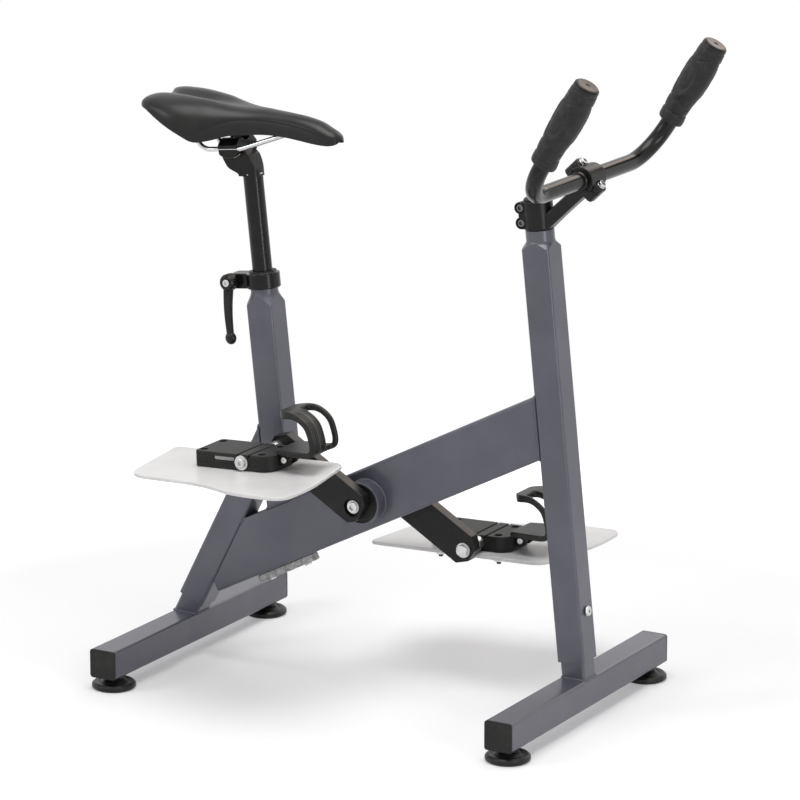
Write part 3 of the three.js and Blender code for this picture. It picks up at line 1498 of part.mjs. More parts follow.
// Grip: each row holds the place along the grip and its two half widths as shares of the palm's
const gripPalm = 21;
const gripWallRound = 3;
const gripStationShares = [
  [0, 0.76, 0.76],
  [0.03, 0.8, 0.8],
  [0.06, 0.76, 0.76],
  [0.1, 0.68, 0.68],
  [0.24, 0.78, 0.72],
  [0.4, 0.95, 0.82],
  [0.54, 1, 0.86],
  [0.7, 0.9, 0.8],
  [0.84, 0.72, 0.7],
  [0.92, 0.7, 0.7],
  [0.95, 0.82, 0.82],
  [1, 0.8, 0.8],
];

function gripGeometry() {
  const skin = loft(gripStationShares.map(([along, deep, wide]) => {
    const halfX = deep * gripPalm;
    const halfY = wide * gripPalm;
    return roundedRing(halfX, halfY, Math.min(halfX, halfY), along * gripLength);
  }));
  const bore = barZ(handlebarDiameter / 2 + gap, -overrun, gripLength + overrun, wheelSides);
  return cut(skin, bore);
}

const gripPlugHead = 2.5;
const gripPlugDepth = 14;

function gripPlugGeometry() {
  const plug = (handlebarDiameter / 2 - handlebarWall) * Math.cos(Math.PI / handlebarSides) - gap;
  const head = handlebarDiameter / 2 + gripWallRound;
  return turnedZ([
    [0, -gripPlugDepth],
    [plug, -gripPlugDepth],
    [plug, gap],
    [head, gap],
    [head - gripPlugHead / 2, gripPlugHead],
    [0, gripPlugHead],
  ]);
}

function addHandlebar(parent) {
  const group = groupAt({ x: stemBarForward, z: stemBarHeight, turn: radians(frameLean) }, 'handlebar_pivot');
  parent.add(group);
  addPiece(group, 'handlebar', handlebarGeometry(), 'blackPaint');
  for (const side of sides) {
    const direction = gripDirection(side.sign);
    const corner = new THREE.Vector3(0, side.sign * barHalfSpan, 0);
    const turn = new THREE.Quaternion().setFromUnitVectors(new THREE.Vector3(0, 0, 1), direction);
    const grip = addPiece(group, `grip_${side.name}`, gripGeometry(), 'greyPlastic');
    grip.position.copy(corner).addScaledVector(direction, gripStart);
    grip.quaternion.copy(turn);
    const plug = addPiece(group, `grip_plug_${side.name}`, gripPlugGeometry(), 'blackPlastic');
    plug.position.copy(corner).addScaledVector(direction, gripStart + gripLength);
    plug.quaternion.copy(turn);
  }
}

function addStem(parent) {
  const stemZ = frontPostHeight + frontShoulder + frontNeck + gap;
  const frame = pointFromFrame(frontPostFrame, 0, stemZ);
  const group = groupAt({ ...frame, turn: frontPostFrame.turn }, 'stem_frame');
  parent.add(group);
  addPiece(group, 'stem', stemGeometry(), 'blackPaint');
  const names = ['lower', 'upper'];
  [pinchLow, pinchHigh].forEach((height, index) => {
    const bolt = addPiece(group, `pinch_bolt_${names[index]}`, pinchBoltGeometry(), 'blackPaint');
    bolt.position.set(-pinchSetback, 0, height);
  });
  const barGroup = groupAt(barFrame, 'faceplate_frame');
  group.add(barGroup);
  addPiece(barGroup, 'stem_faceplate', faceplateGeometry(), 'blackPaint');
  sides.forEach((side, index) => {
    const bolt = addPiece(barGroup, `faceplate_bolt_${names[index]}`, faceplateBoltGeometry(), 'blackPaint');
    bolt.position.z = side.sign * faceplateBoltSpread;
  });
  const cap = addPiece(group, 'stem_cap', stemCapGeometry(), 'blackPlastic');
  cap.position.z = stemClampHeight + gap;
  addHandlebar(group);
}

function addSeat(parent) {
  const top = pointFromFrame(seatTubeFrame, 0, collarTop);
  const group = groupAt({ ...top, turn: seatTubeFrame.turn }, 'seat_slide');
  parent.add(group);
  const collar = addPiece(group, 'seat_clamp_collar', collarGeometry(), 'blackPaint');
  collar.position.z = collarMiddle - collarTop;
  const lever = groupAt({ x: -studSetback, z: collarMiddle - collarTop, turn: 0 }, 'lever_pivot');
  group.add(lever);
  addPiece(lever, 'clamp_stud', clampStudGeometry(), 'steel');
  addPiece(lever, 'clamp_lever', leverGeometry(), 'blackPlastic');
  addPiece(lever, 'lever_screw', leverScrewGeometry(), 'steel');
  const shim = addPiece(group, 'seat_post_shim', shimGeometry(), 'blackPlastic');
  shim.position.z = collarDrop;
  addPiece(group, 'seat_post', seatPostGeometry(), 'blackPaint');
  const tilt = groupAt({ x: -headLayback, z: tiltHeight, turn: 0 }, 'saddle_tilt_pivot');
  group.add(tilt);
  const clamp = groupAt({ x: 0, z: -cradleArcRise, turn: 0 }, 'saddle_clamp');
  tilt.add(clamp);
  addPiece(clamp, 'saddle_cradle', cradleGeometry(), 'blackPaint');
  addPiece(clamp, 'saddle_upper_clamp', upperClampGeometry(), 'blackPaint');
  addPiece(clamp, 'saddle_clamp_bolt', saddleClampBoltGeometry(), 'steel');
  addPiece(clamp, 'saddle_rails', railsGeometry(railRadius), 'steel');
  const level = groupAt({ x: 0, z: 0, turn: radians(frameLean) }, 'saddle_level');
  clamp.add(level);
  addPiece(level, 'saddle_cover', saddleCoverGeometry(), 'cover');
  addPiece(level, 'saddle_shell', saddleShellGeometry(), 'blackPlastic');
}

// The finished bike stands on the floor with its middle over the origin.
function centred(content) {
  content.updateMatrixWorld(true);
  const bounds = new THREE.Box3().setFromObject(content, true);
  content.position.set(-(bounds.min.x + bounds.max.x) / 2, 0, -bounds.min.z);
  const group = new THREE.Group();
  group.add(content);
  group.updateMatrixWorld(true);
  return group;
}

function aquaBike() {
  const content = new THREE.Group();
  addFootBeam(content, 'front', frontPostFrame, 1);
  addFootBeam(content, 'rear', rearPostFrame, -1);
  addFrame(content);
  addCrankSet(content);
  addSeat(content);
  addStem(content);
  return centred(content);
}

export default aquaBike();
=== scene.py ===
"""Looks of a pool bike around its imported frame: smooth pieces, finishes, studio and camera.

Shapes are drawn in millimetres in the frames of the bike, and turned into metres when a piece is finished.
"""

import json
import logging
import math
from abc import ABC, abstractmethod
from collections.abc import Callable, Iterable, Sequence
from dataclasses import dataclass, replace
from enum import Enum
from functools import cache

import bmesh
import bpy
from mathutils import Matrix, Vector, noise


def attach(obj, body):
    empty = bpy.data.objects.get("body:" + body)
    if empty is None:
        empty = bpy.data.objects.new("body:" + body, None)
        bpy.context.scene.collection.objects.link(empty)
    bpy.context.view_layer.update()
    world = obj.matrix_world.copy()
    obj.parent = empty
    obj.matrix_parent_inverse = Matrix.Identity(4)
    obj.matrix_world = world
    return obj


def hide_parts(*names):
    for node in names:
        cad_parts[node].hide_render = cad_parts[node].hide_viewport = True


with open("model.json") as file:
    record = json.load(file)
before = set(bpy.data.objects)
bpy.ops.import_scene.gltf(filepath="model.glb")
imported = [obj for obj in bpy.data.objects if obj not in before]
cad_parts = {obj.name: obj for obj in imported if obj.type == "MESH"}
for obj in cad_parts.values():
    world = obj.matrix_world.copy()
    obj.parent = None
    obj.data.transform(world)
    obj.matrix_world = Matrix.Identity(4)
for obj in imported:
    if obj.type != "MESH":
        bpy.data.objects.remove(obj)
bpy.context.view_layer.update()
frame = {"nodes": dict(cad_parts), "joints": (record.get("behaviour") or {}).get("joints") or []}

log = logging.getLogger("aqua_bike")
logging.basicConfig(level=logging.INFO, format="%(name)s %(message)s")

Point = tuple[float, float, float]
Corner = tuple[float, float, float]
Outline = list[tuple[float, float]]

MILLIMETRE = 0.001
GAP = 0.3
FORWARD = Vector((1, 0, 0))
ACROSS = Vector((0, 1, 0))
UP = Vector((0, 0, 1))


class Axis(Enum):
    """The direction that a turned or pushed shape runs along."""

    X = 0
    Y = 1
    Z = 2

    def turn(self) -> Matrix:
        """The turn that takes the upright direction onto this one."""
        turns = ((90, "Y"), (-90, "X"), (0, "Z"))
        return Matrix.Rotation(math.radians(turns[self.value][0]), 4, turns[self.value][1])

    def point(self, first: float, second: float, along: float) -> Point:
        """A point from its places across this direction and its place along it."""
        return ((along, first, second), (first, along, second), (first, second, along))[self.value]


class Side(Enum):
    """The rider's sides, with the sign of Y on each."""

    RIGHT = -1
    LEFT = 1

    @property
    def word(self) -> str:
        """The side's name in small letters."""
        return self.name.lower()


def at(x: float = 0, y: float = 0, z: float = 0, turn: float = 0, roll: float = 0) -> Matrix:
    """A place with a turn about Y and then a roll about its own Z, in degrees.

    Args:
        x: forward, in millimetres.
        y: to the left.
        z: up.
        turn: about Y, nose down.
        roll: about the turned Z.

    Returns:
        The matrix of the place.
    """
    turned = Matrix.Rotation(math.radians(turn), 4, "Y") @ Matrix.Rotation(math.radians(roll), 4, "Z")
    return Matrix.Translation((x, y, z)) @ turned


def fillet(corners: Sequence[Corner], steps: int = 6) -> Outline:
    """A closed outline whose corners are rounded by arcs.

    Args:
        corners: rows of x, y and the radius of the corner.
        steps: segments of each arc.

    Returns:
        The points of the outline.
    """
    points: Outline = []
    for index, (x, y, radius) in enumerate(corners):
        here = Vector((x, y))
        before = Vector(corners[index - 1][:2]) - here
        after = Vector(corners[(index + 1) % len(corners)][:2]) - here
        if radius <= 0 or before.length < 1e-6 or after.length < 1e-6:
            points.append((x, y))
            continue
        before.normalize()
        after.normalize()
        half = math.acos(max(-1.0, min(1.0, before.dot(after)))) / 2
        reach = radius / math.tan(half)
        centre = here + (before + after).normalized() * (radius / math.sin(half))
        start = here + before * reach - centre
        end = here + after * reach - centre
        for step in range(steps + 1):
            arm = start.lerp(end, step / steps) if half > math.radians(89) else start.slerp(end, step / steps)
            points.append(tuple(centre + arm.normalized() * radius))
    return points


def rectangle(half_x: float, half_y: float, radius: float, steps: int = 6) -> Outline:
    """A rounded rectangle about the origin."""
    signs = ((-1, -1), (1, -1), (1, 1), (-1, 1))
    return fillet([(x * half_x, y * half_y, radius) for x, y in signs], steps)


def arc(radius: float, start: int, end: int, step: int, x: float = 0, y: float = 0) -> Outline:
    """Points round a centre, from one angle in degrees to another."""
    turns = [math.radians(turn) for turn in range(start, end + 1, step)]
    return [(x + radius * math.cos(turn), y + radius * math.sin(turn)) for turn in turns]


def circle(radius: float, sides: int = 48) -> Outline:
    """A round outline."""
    turns = [math.tau * step / sides for step in range(sides)]
    return [(radius * math.cos(turn), radius * math.sin(turn)) for turn in turns]


def hexagon(flats: float) -> Outline:
    """A hexagon outline, given across its flats."""
    return circle(flats / math.sqrt(3), 6)


def interpolated(rows: Sequence[Sequence[float]], place: float) -> list[float]:
    """Values of a table at a place, on a smooth curve through its rows.

    Args:
        rows: each a place and its values, in rising order of place.
        place: where the values are wanted.

    Returns:
        The values.
    """
    last = len(rows) - 2
    index = max(0, min(last, sum(1 for row in rows[1:-1] if row[0] <= place)))
    before, low, high = rows[max(index - 1, 0)], rows[index], rows[index + 1]
    after = rows[min(index + 2, len(rows) - 1)]
    span = high[0] - low[0]
    share = max(0.0, min(1.0, (place - low[0]) / span))
    found = []
    for column in range(1, len(low)):
        start = (high[column] - before[column]) / max(high[0] - before[0], 1e-9) * span
        end = (after[column] - low[column]) / max(after[0] - low[0], 1e-9) * span
        square, cube = share ** 2, share ** 3
        found.append((2 * cube - 3 * square + 1) * low[column] + (cube - 2 * square + share) * start
                     + (3 * square - 2 * cube) * high[column] + (cube - square) * end)
    return found


def smooth_line(corners: Sequence[Vector], steps: int) -> list[Vector]:
    """A smooth line through corners.

    Args:
        corners: that it passes through.
        steps: points between two corners.

    Returns:
        The points.
    """
    rows = [(index, *corner) for index, corner in enumerate(corners)]
    count = (len(corners) - 1) * steps
    return [Vector(interpolated(rows, step / steps)) for step in range(count + 1)]


def even_points(line: Sequence[Vector], count: int) -> list[Vector]:
    """Points at even distances along a line.

    Args:
        line: points of the line.
        count: of the stretches between the new points.

    Returns:
        The points, with both ends.
    """
    lengths = [0.0]
    for before, after in zip(line, line[1:]):
        lengths.append(lengths[-1] + (after - before).length)
    points = []
    for step in range(count + 1):
        wanted = lengths[-1] * step / count
        index = max(0, min(len(line) - 2, sum(1 for length in lengths[1:-1] if length <= wanted)))
        share = (wanted - lengths[index]) / max(lengths[index + 1] - lengths[index], 1e-9)
        points.append(line[index].lerp(line[index + 1], share))
    return points


def bent_line(corners: Sequence[Vector], setbacks: Sequence[float], steps: int) -> list[Vector]:
    """A line whose corners are rounded by true arcs.

    Args:
        corners: the ends and the corners between them.
        setbacks: how far before each corner its arc begins.
        steps: segments of each arc.

    Returns:
        The points.
    """
    points = [corners[0].copy()]
    for index in range(1, len(corners) - 1):
        corner = corners[index]
        before = (corners[index - 1] - corner).normalized()
        after = (corners[index + 1] - corner).normalized()
        half = before.angle(after) / 2
        setback = setbacks[index]
        centre = corner + (before + after).normalized() * (setback / math.cos(half))
        start, end = corner + before * setback - centre, corner + after * setback - centre
        points += [centre + start.slerp(end, step / steps).normalized() * start.length for step in range(steps + 1)]
    points.append(corners[-1].copy())
    return points


def net_faces(rows: int, columns: int, holes: set[tuple[int, int]]) -> list[tuple[int, ...]]:
    """Faces of a two-sided net of points, walled round its rim and its holes.

    Args:
        rows: of cells.
        columns: of points.
        holes: cells that are left out.

    Returns:
        The faces, over points of the upper side and then of the lower side.
    """
    below = (rows + 1) * columns
    cells = {(row, column) for row in range(rows) for column in range(columns - 1)} - holes
    faces: list[tuple[int, ...]] = []
    for row, column in sorted(cells):
        a, b = row * columns + column, row * columns + column + 1
        c, d = b + columns, a + columns
        faces += [(a, b, c, d), (below + d, below + c, below + b, below + a)]
        for near, first, second in (((row - 1, column), a, b), ((row, column + 1), b, c), ((row + 1, column), c, d),
                                    ((row, column - 1), d, a)):
            if near not in cells:
                faces.append((second, first, below + first, below + second))
    return faces


def softened(corners: Sequence[Corner], steps: int = 10) -> Outline:
    """A closed outline whose corners are drawn as soft curves.

    Args:
        corners: rows of x, y and how far before the corner its curve begins.
        steps: segments of each curve.

    Returns:
        The points of the outline.
    """
    points: Outline = []
    for index, (x, y, setback) in enumerate(corners):
        here = Vector((x, y))
        start = here + (Vector(corners[index - 1][:2]) - here).normalized() * setback
        end = here + (Vector(corners[(index + 1) % len(corners)][:2]) - here).normalized() * setback
        for step in range(steps + 1):
            share = step / steps
            points.append(tuple(start.lerp(here, share).lerp(here.lerp(end, share), share)))
    return points


def linked(name: str, data: bpy.types.ID | None) -> bpy.types.Object:
    """A new object in the scene."""
    item = bpy.data.objects.new(name, data)
    bpy.context.scene.collection.objects.link(item)
    return item


def evaluated(item: bpy.types.Object) -> bpy.types.Mesh:
    """A plain mesh of what an object's modifiers make."""
    return bpy.data.meshes.new_from_object(item.evaluated_get(bpy.context.evaluated_depsgraph_get()))


def remove(*items: bpy.types.Object) -> None:
    """Removes objects and their meshes."""
    for mesh in [item.data for item in items]:
        bpy.data.meshes.remove(mesh)


class Solid:
    """A closed mesh while it is being shaped, in millimetres."""

    def __init__(self, mesh: bmesh.types.BMesh) -> None:
        """Wraps a mesh."""
        self.mesh = mesh

    @classmethod
    def of(cls, points: Iterable[Sequence[float]], faces: Iterable[Sequence[int]],
           values: dict[str, Sequence[float]] | None = None) -> "Solid":
        """A solid of points and faces, with doubles merged and the faces turned outwards.

        Args:
            points: the corners.
            faces: rows of corners.
            values: named numbers that a finish reads, one for each corner.

        Returns:
            The solid.
        """
        mesh = bmesh.new()
        layers = {name: mesh.verts.layers.float.new(name) for name in values or {}}
        verts = [mesh.verts.new(point) for point in points]
        for name, layer in layers.items():
            for vert, number in zip(verts, values[name]):
                vert[layer] = number
        for face in faces:
            mesh.faces.new([verts[index] for index in face])
        bmesh.ops.remove_doubles(mesh, verts=mesh.verts, dist=1e-4)
        bmesh.ops.recalc_face_normals(mesh, faces=mesh.faces)
        return cls(mesh)

    @classmethod
    def turned(cls, profile: Outline, axis: Axis = Axis.Z, sides: int = 48, ring: bool = False) -> "Solid":
        """A profile of radius and place pairs turned about an axis.

        Args:
            profile: from the axis back to the axis, or a closed loop for a ring.
            axis: that it turns about.
            sides: round the turn.
            ring: whether the profile is a closed loop.

        Returns:
            The turned solid.
        """
        count = len(profile)
        points = [(radius * x, radius * y, place) for x, y in circle(1, sides) for radius, place in profile]
        faces = []
        for side in range(sides):
            here, there = side * count, (side + 1) % sides * count
            for row in range(count if ring else count - 1):
                after = (row + 1) % count
                faces.append((here + row, there + row, there + after, here + after))
        return cls.of(points, faces).placed(axis.turn())

    @classmethod
    def bar(cls, radius: float, low: float, high: float, axis: Axis = Axis.Z, edge: float = 0.5,
            sides: int = 48) -> "Solid":
        """A round bar along an axis with eased ends."""
        rows = fillet([(0, low, 0), (radius, low, edge), (radius, high, edge), (0, high, 0)], 3)
        return cls.turned(rows, axis, sides)

    @classmethod
    def ring(cls, outer: float, inner: float, low: float, high: float, axis: Axis = Axis.Z, edge: float = 0.4,
             sides: int = 48) -> "Solid":
        """A ring along an axis with eased edges."""
        rows = fillet([(outer, low, edge), (outer, high, edge), (inner, high, edge), (inner, low, edge)], 3)
        return cls.turned(rows, axis, sides, ring=True)

    @classmethod
    def lofted(cls, rings: Sequence[Sequence[Sequence[float]]],
               values: dict[str, Sequence[float]] | None = None) -> "Solid":
        """A skin over rings of equal count, closed by a face at each end.

        Args:
            rings: points of each ring.
            values: named numbers that a finish reads, one for each point.

        Returns:
            The solid.
        """
        count = len(rings[0])
        faces: list[Sequence[int]] = []
        for low in range(0, (len(rings) - 1) * count, count):
            for step in range(count):
                here, after = low + step, low + (step + 1) % count
                faces.append((here, after, after + count, here + count))
        faces += [range(count), range((len(rings) - 1) * count, len(rings) * count)]
        return cls.of([point for ring in rings for point in ring], faces, values)

    @classmethod
    def prism(cls, outline: Outline, low: float, high: float, axis: Axis = Axis.Z) -> "Solid":
        """A flat outline pushed along an axis."""
        return cls.lofted([[axis.point(*pair, place) for pair in outline] for place in (low, high)])

    @classmethod
    def block(cls, low: Point, high: Point) -> "Solid":
        """A plain block between two corners, used to cut others."""
        outline = [(low[0], low[1]), (high[0], low[1]), (high[0], high[1]), (low[0], high[1])]
        return cls.prism(outline, low[2], high[2])

    @classmethod
    def swept(cls, path: Sequence[Vector], section: Outline, up: Vector) -> "Solid":
        """A section carried along a path.

        Args:
            path: points of the middle line.
            section: its outline, in the path's own across and up.
            up: a direction that the section's second axis leans to.

        Returns:
            The swept solid.
        """
        rings = []
        side = None
        for index, point in enumerate(path):
            along = (path[min(index + 1, len(path) - 1)] - path[max(index - 1, 0)]).normalized()
            side = side or up.cross(along)
            side = (side - along * side.dot(along)).normalized()
            rings.append([point + side * x + along.cross(side) * y for x, y in section])
        return cls.lofted(rings)

    @classmethod
    def nut(cls, flats: float, low: float, high: float) -> "Solid":
        """A hexagon nut whose upper corners are turned off."""
        reach = flats / math.sqrt(3)
        rim = high - reach * 0.22
        cone = [(0, low - 1), (reach * 1.1, low - 1), (reach * 1.1, rim), (flats * 0.47, high), (0, high)]
        return cls.prism(hexagon(flats), low, high).combined("INTERSECT", [cls.turned(cone, sides=72)])

    @classmethod
    def baked(cls, item: bpy.types.Object, *tools: bpy.types.Object) -> "Solid":
        """The solid that an object's modifiers make, after which it and its tools are removed.

        Args:
            item: with the modifiers.
            tools: that the modifiers use.

        Returns:
            The solid.
        """
        result, mesh = evaluated(item), bmesh.new()
        mesh.from_mesh(result)
        bpy.data.meshes.remove(result)
        remove(item, *tools)
        return cls(mesh)

    def placed(self, place: Matrix) -> "Solid":
        """The solid moved and turned."""
        self.mesh.transform(place)
        if place.determinant() < 0:
            bmesh.ops.reverse_faces(self.mesh, faces=self.mesh.faces)
        return self

    def moved(self, x: float = 0, y: float = 0, z: float = 0) -> "Solid":
        """The solid moved straight."""
        return self.placed(Matrix.Translation((x, y, z)))

    def beside(self, *others: "Solid") -> "Solid":
        """The solid with others that stay shells of their own."""
        for held in [other.trial() for other in others]:
            self.mesh.from_mesh(held.data)
            remove(held)
        return self

    def trial(self) -> bpy.types.Object:
        """An object in the scene that holds the solid for a modifier."""
        item = linked("trial", bpy.data.meshes.new("trial"))
        self.mesh.to_mesh(item.data)
        return item

    def combined(self, operation: str, others: Sequence["Solid"]) -> "Solid":
        """The solid joined with others, or cut by them.

        Args:
            operation: of the Boolean modifier.
            others: its tools.

        Returns:
            A new solid.
        """
        base, *tools = [solid.trial() for solid in (self, *others)]
        for tool in tools:
            modifier = base.modifiers.new("combine", "BOOLEAN")
            modifier.operation, modifier.solver, modifier.object = operation, "EXACT", tool
        made = Solid.baked(base, *tools)
        mesh = made.mesh
        bmesh.ops.remove_doubles(mesh, verts=mesh.verts, dist=1e-3)
        bmesh.ops.dissolve_limit(mesh, angle_limit=math.radians(0.5), verts=mesh.verts, edges=mesh.edges)
        return made

    def joined(self, *others: "Solid") -> "Solid":
        """The solid grown together with others."""
        return self.combined("UNION", others)

    def cut(self, *tools: "Solid") -> "Solid":
        """The solid without what the tools take away."""
        return self.combined("DIFFERENCE", tools)

    def split(self, point: Vector, normal: Vector, trim: bool = False) -> list[bmesh.types.BMEdge]:
        """Divides the faces at a plane and gives the new edges.

        Args:
            point: on the plane.
            normal: of the plane.
            trim: whether what lies beyond it goes.

        Returns:
            The edges in the plane.
        """
        geometry = [*self.mesh.verts, *self.mesh.edges, *self.mesh.faces]
        done = bmesh.ops.bisect_plane(self.mesh, geom=geometry, plane_co=point, plane_no=normal, clear_outer=trim)
        return [item for item in done["geom_cut"] if isinstance(item, bmesh.types.BMEdge)]

    def trimmed(self, point: Vector, normal: Vector) -> "Solid":
        """The solid without what lies beyond a plane."""
        bmesh.ops.holes_fill(self.mesh, edges=self.split(point, normal, trim=True))
        return self

    def sliced(self, axis: Vector, places: Iterable[float]) -> "Solid":
        """The solid with its faces divided at places along an axis, ready to be bent."""
        for place in places:
            self.split(axis * place, axis)
        return self

    def eased(self, width: float, segments: int = 3, angle: float = 30,
              where: Callable[[Vector], bool] = lambda middle: True) -> "Solid":
        """The solid with its sharp edges rounded.

        Args:
            width: of the rounding.
            segments: of the rounding.
            angle: between two faces, in degrees, from which an edge counts as sharp.
            where: picks edges by their middle.

        Returns:
            The solid itself.
        """
        sharp = [edge for edge in self.mesh.edges
                 if len(edge.link_faces) == 2 and edge.calc_face_angle(0) > math.radians(angle)
                 and where((edge.verts[0].co + edge.verts[1].co) / 2)]
        bmesh.ops.bevel(self.mesh, geom=sharp, offset=width, offset_type="OFFSET", segments=segments, profile=0.5,
                        affect="EDGES", clamp_overlap=True)
        return self

    def subdivided(self, levels: int) -> "Solid":
        """The solid rounded by subdivision."""
        base = self.trial()
        modifier = base.modifiers.new("round", "SUBSURF")
        modifier.levels = modifier.render_levels = levels
        return Solid.baked(base)

    def piece(self, name: str, finish: "Finish", body: str, replaces: Sequence[str] = (),
              smooth: float = 32) -> bpy.types.Object:
        """Finishes the solid as a piece of the bike, in metres.

        Args:
            name: of the piece.
            finish: that it wears.
            body: that it rides on.
            replaces: nodes that it stands for.
            smooth: angle in degrees up to which faces are shaded as one.

        Returns:
            The piece.
        """
        self.mesh.transform(Matrix.Scale(MILLIMETRE, 4))
        mesh = bpy.data.meshes.new(name)
        self.mesh.to_mesh(mesh)
        self.mesh.free()
        mesh.shade_smooth()
        mesh.set_sharp_from_angle(angle=math.radians(smooth))
        item = linked(name, mesh)
        modifier = item.modifiers.new("shading", "WEIGHTED_NORMAL")
        modifier.keep_sharp, modifier.weight = True, 100
        item.data = evaluated(item)
        item.modifiers.clear()
        bpy.data.meshes.remove(mesh)
        finish_piece(item, finish, body, replaces)
        return item


def finish_piece(item: bpy.types.Object, finish: "Finish", body: str, replaces: Sequence[str] = (), name: str = "",
                 place: Matrix | None = None) -> None:
    """Gives a piece its material, its body and the nodes that it stands for.

    Args:
        item: the piece.
        finish: that it wears.
        body: that it rides on.
        replaces: nodes that it stands for.
        name: where it has none yet.
        place: where its mesh goes, in millimetres.
    """
    if name:
        item.name = name
    if place is not None:
        metres = Matrix.Translation(place.translation * MILLIMETRE) @ place.to_3x3().to_4x4()
        item.data.transform(metres)
        if metres.determinant() < 0:
            item.data.flip_normals()
    item.data.materials.clear()
    item.data.materials.append(finish.material())
    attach(item, body)
    if replaces:
        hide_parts(*replaces)
    log.info("%s on %s, %d faces", item.name, body, len(item.data.polygons))


def dress(finish: "Finish", *nodes: str) -> None:
    """Gives nodes of the frame a better material."""
    for node in nodes:
        item = frame["nodes"][node]
        item.data.materials.clear()
        item.data.materials.append(finish.material())


# Shader graphs


class Signal:
    """A number that flows through a shader."""

    def __init__(self, graph: "Graph", socket: bpy.types.NodeSocket) -> None:
        """Wraps a socket of a graph."""
        self.graph = graph
        self.socket = socket

    def __add__(self, other: "Value") -> "Signal":
        """Adds."""
        return self.graph.math("ADD", self, other)

    def __radd__(self, other: "Value") -> "Signal":
        """Adds."""
        return self.graph.math("ADD", other, self)

    def __sub__(self, other: "Value") -> "Signal":
        """Takes away."""
        return self.graph.math("SUBTRACT", self, other)

    def __rsub__(self, other: "Value") -> "Signal":
        """Takes this away."""
        return self.graph.math("SUBTRACT", other, self)

    def __mul__(self, other: "Value") -> "Signal":
        """Multiplies."""
        return self.graph.math("MULTIPLY", self, other)

    def __rmul__(self, other: "Value") -> "Signal":
        """Multiplies."""
        return self.graph.math("MULTIPLY", other, self)

    def band(self, low: float, high: float) -> "Signal":
        """Zero below low, one above high and smooth between."""
        node = self.graph.node("ShaderNodeMapRange", {"interpolation_type": "SMOOTHSTEP"},
                               {"Value": self, "From Min": low, "From Max": high})
        return Signal(self.graph, node.outputs["Result"])


Value = Signal | float | int


class Tree:
    """A node tree that is filled in code."""

    def __init__(self, tree: bpy.types.NodeTree) -> None:
        """Empties the tree."""
        self.tree = tree
        tree.nodes.clear()

    def node(self, kind: str, settings: dict[str, object] | None = None,
             sockets: dict[str | int, object] | None = None) -> bpy.types.Node:
        """Adds a node.

        Args:
            kind: type of the node.
            settings: properties, set first.
            sockets: values or links of its inputs.

        Returns:
            The node.
        """
        made = self.tree.nodes.new(kind)
        for key, value in (settings or {}).items():
            setattr(made, key, value)
        for key, value in (sockets or {}).items():
            value = value.socket if isinstance(value, Signal) else value
            if isinstance(value, bpy.types.NodeSocket):
                self.tree.links.new(value, made.inputs[key])
            else:
                made.inputs[key].default_value = value
        return made


class Graph(Tree):
    """The shader of a material or of the world."""

    def __init__(self, owner: bpy.types.Material | bpy.types.World) -> None:
        """Starts an empty shader."""
        owner.use_nodes = True
        super().__init__(owner.node_tree)
        self.owner = owner

    @property
    def place(self) -> bpy.types.NodeSocket:
        """The place on the object."""
        return self.node("ShaderNodeTexCoord").outputs["Object"]

    def math(self, operation: str, *values: Value) -> Signal:
        """The result of a Math node."""
        node = self.node("ShaderNodeMath", {"operation": operation}, dict(enumerate(values)))
        return Signal(self, node.outputs[0])

    def noise(self, size: float, detail: float = 3, rough: float = 0.5,
              stretch: Point = (1, 1, 1)) -> Signal:
        """Noise whose features are about size millimetres wide, from zero to one."""
        vector = self.node("ShaderNodeMapping", {}, {"Vector": self.place, "Scale": stretch}).outputs[0]
        sockets = {"Vector": vector, "Scale": 1 / (size * MILLIMETRE), "Detail": detail, "Roughness": rough}
        return Signal(self, self.node("ShaderNodeTexNoise", {}, sockets).outputs["Fac"])

    def cells(self, size: float, feature: str = "F1") -> Signal:
        """Distances in a pattern of cells that are about size millimetres wide."""
        node = self.node("ShaderNodeTexVoronoi", {"feature": feature},
                         {"Vector": self.place, "Scale": 1 / (size * MILLIMETRE)})
        return Signal(self, node.outputs["Distance"])

    def blend(self, factor: Value, first: object, second: object) -> bpy.types.NodeSocket:
        """A colour between two colours."""
        def full(colour: object) -> object:
            return (*colour, 1) if isinstance(colour, tuple) else colour

        node = self.node("ShaderNodeMix", {"data_type": "RGBA"}, {0: factor, 6: full(first), 7: full(second)})
        return node.outputs[2]

    def bump(self, height: Signal, depth: float, strength: float = 1) -> bpy.types.NodeSocket:
        """A normal that follows a height of depth millimetres."""
        sockets = {"Height": height, "Distance": depth * MILLIMETRE, "Strength": strength}
        return self.node("ShaderNodeBump", {}, sockets).outputs[0]

    def surface(self, **sockets: object) -> bpy.types.Material:
        """Ends the graph in one Principled shader and returns the material."""
        named = {key.replace("_", " "): value for key, value in sockets.items()}
        shader = self.node("ShaderNodeBsdfPrincipled", {}, named)
        self.node("ShaderNodeOutputMaterial", {}, {"Surface": shader.outputs[0]})
        return self.owner


class Finish(ABC):
    """A finish of the bike, with the record's slot that it belongs to."""

    name: str
    slot: str

    @abstractmethod
    def build(self, graph: Graph) -> bpy.types.Material:
        """Fills the graph and returns its material."""

    @cache
    def material(self) -> bpy.types.Material:
        """The material of this finish, made once."""
        return self.build(Graph(bpy.data.materials.new(self.name)))


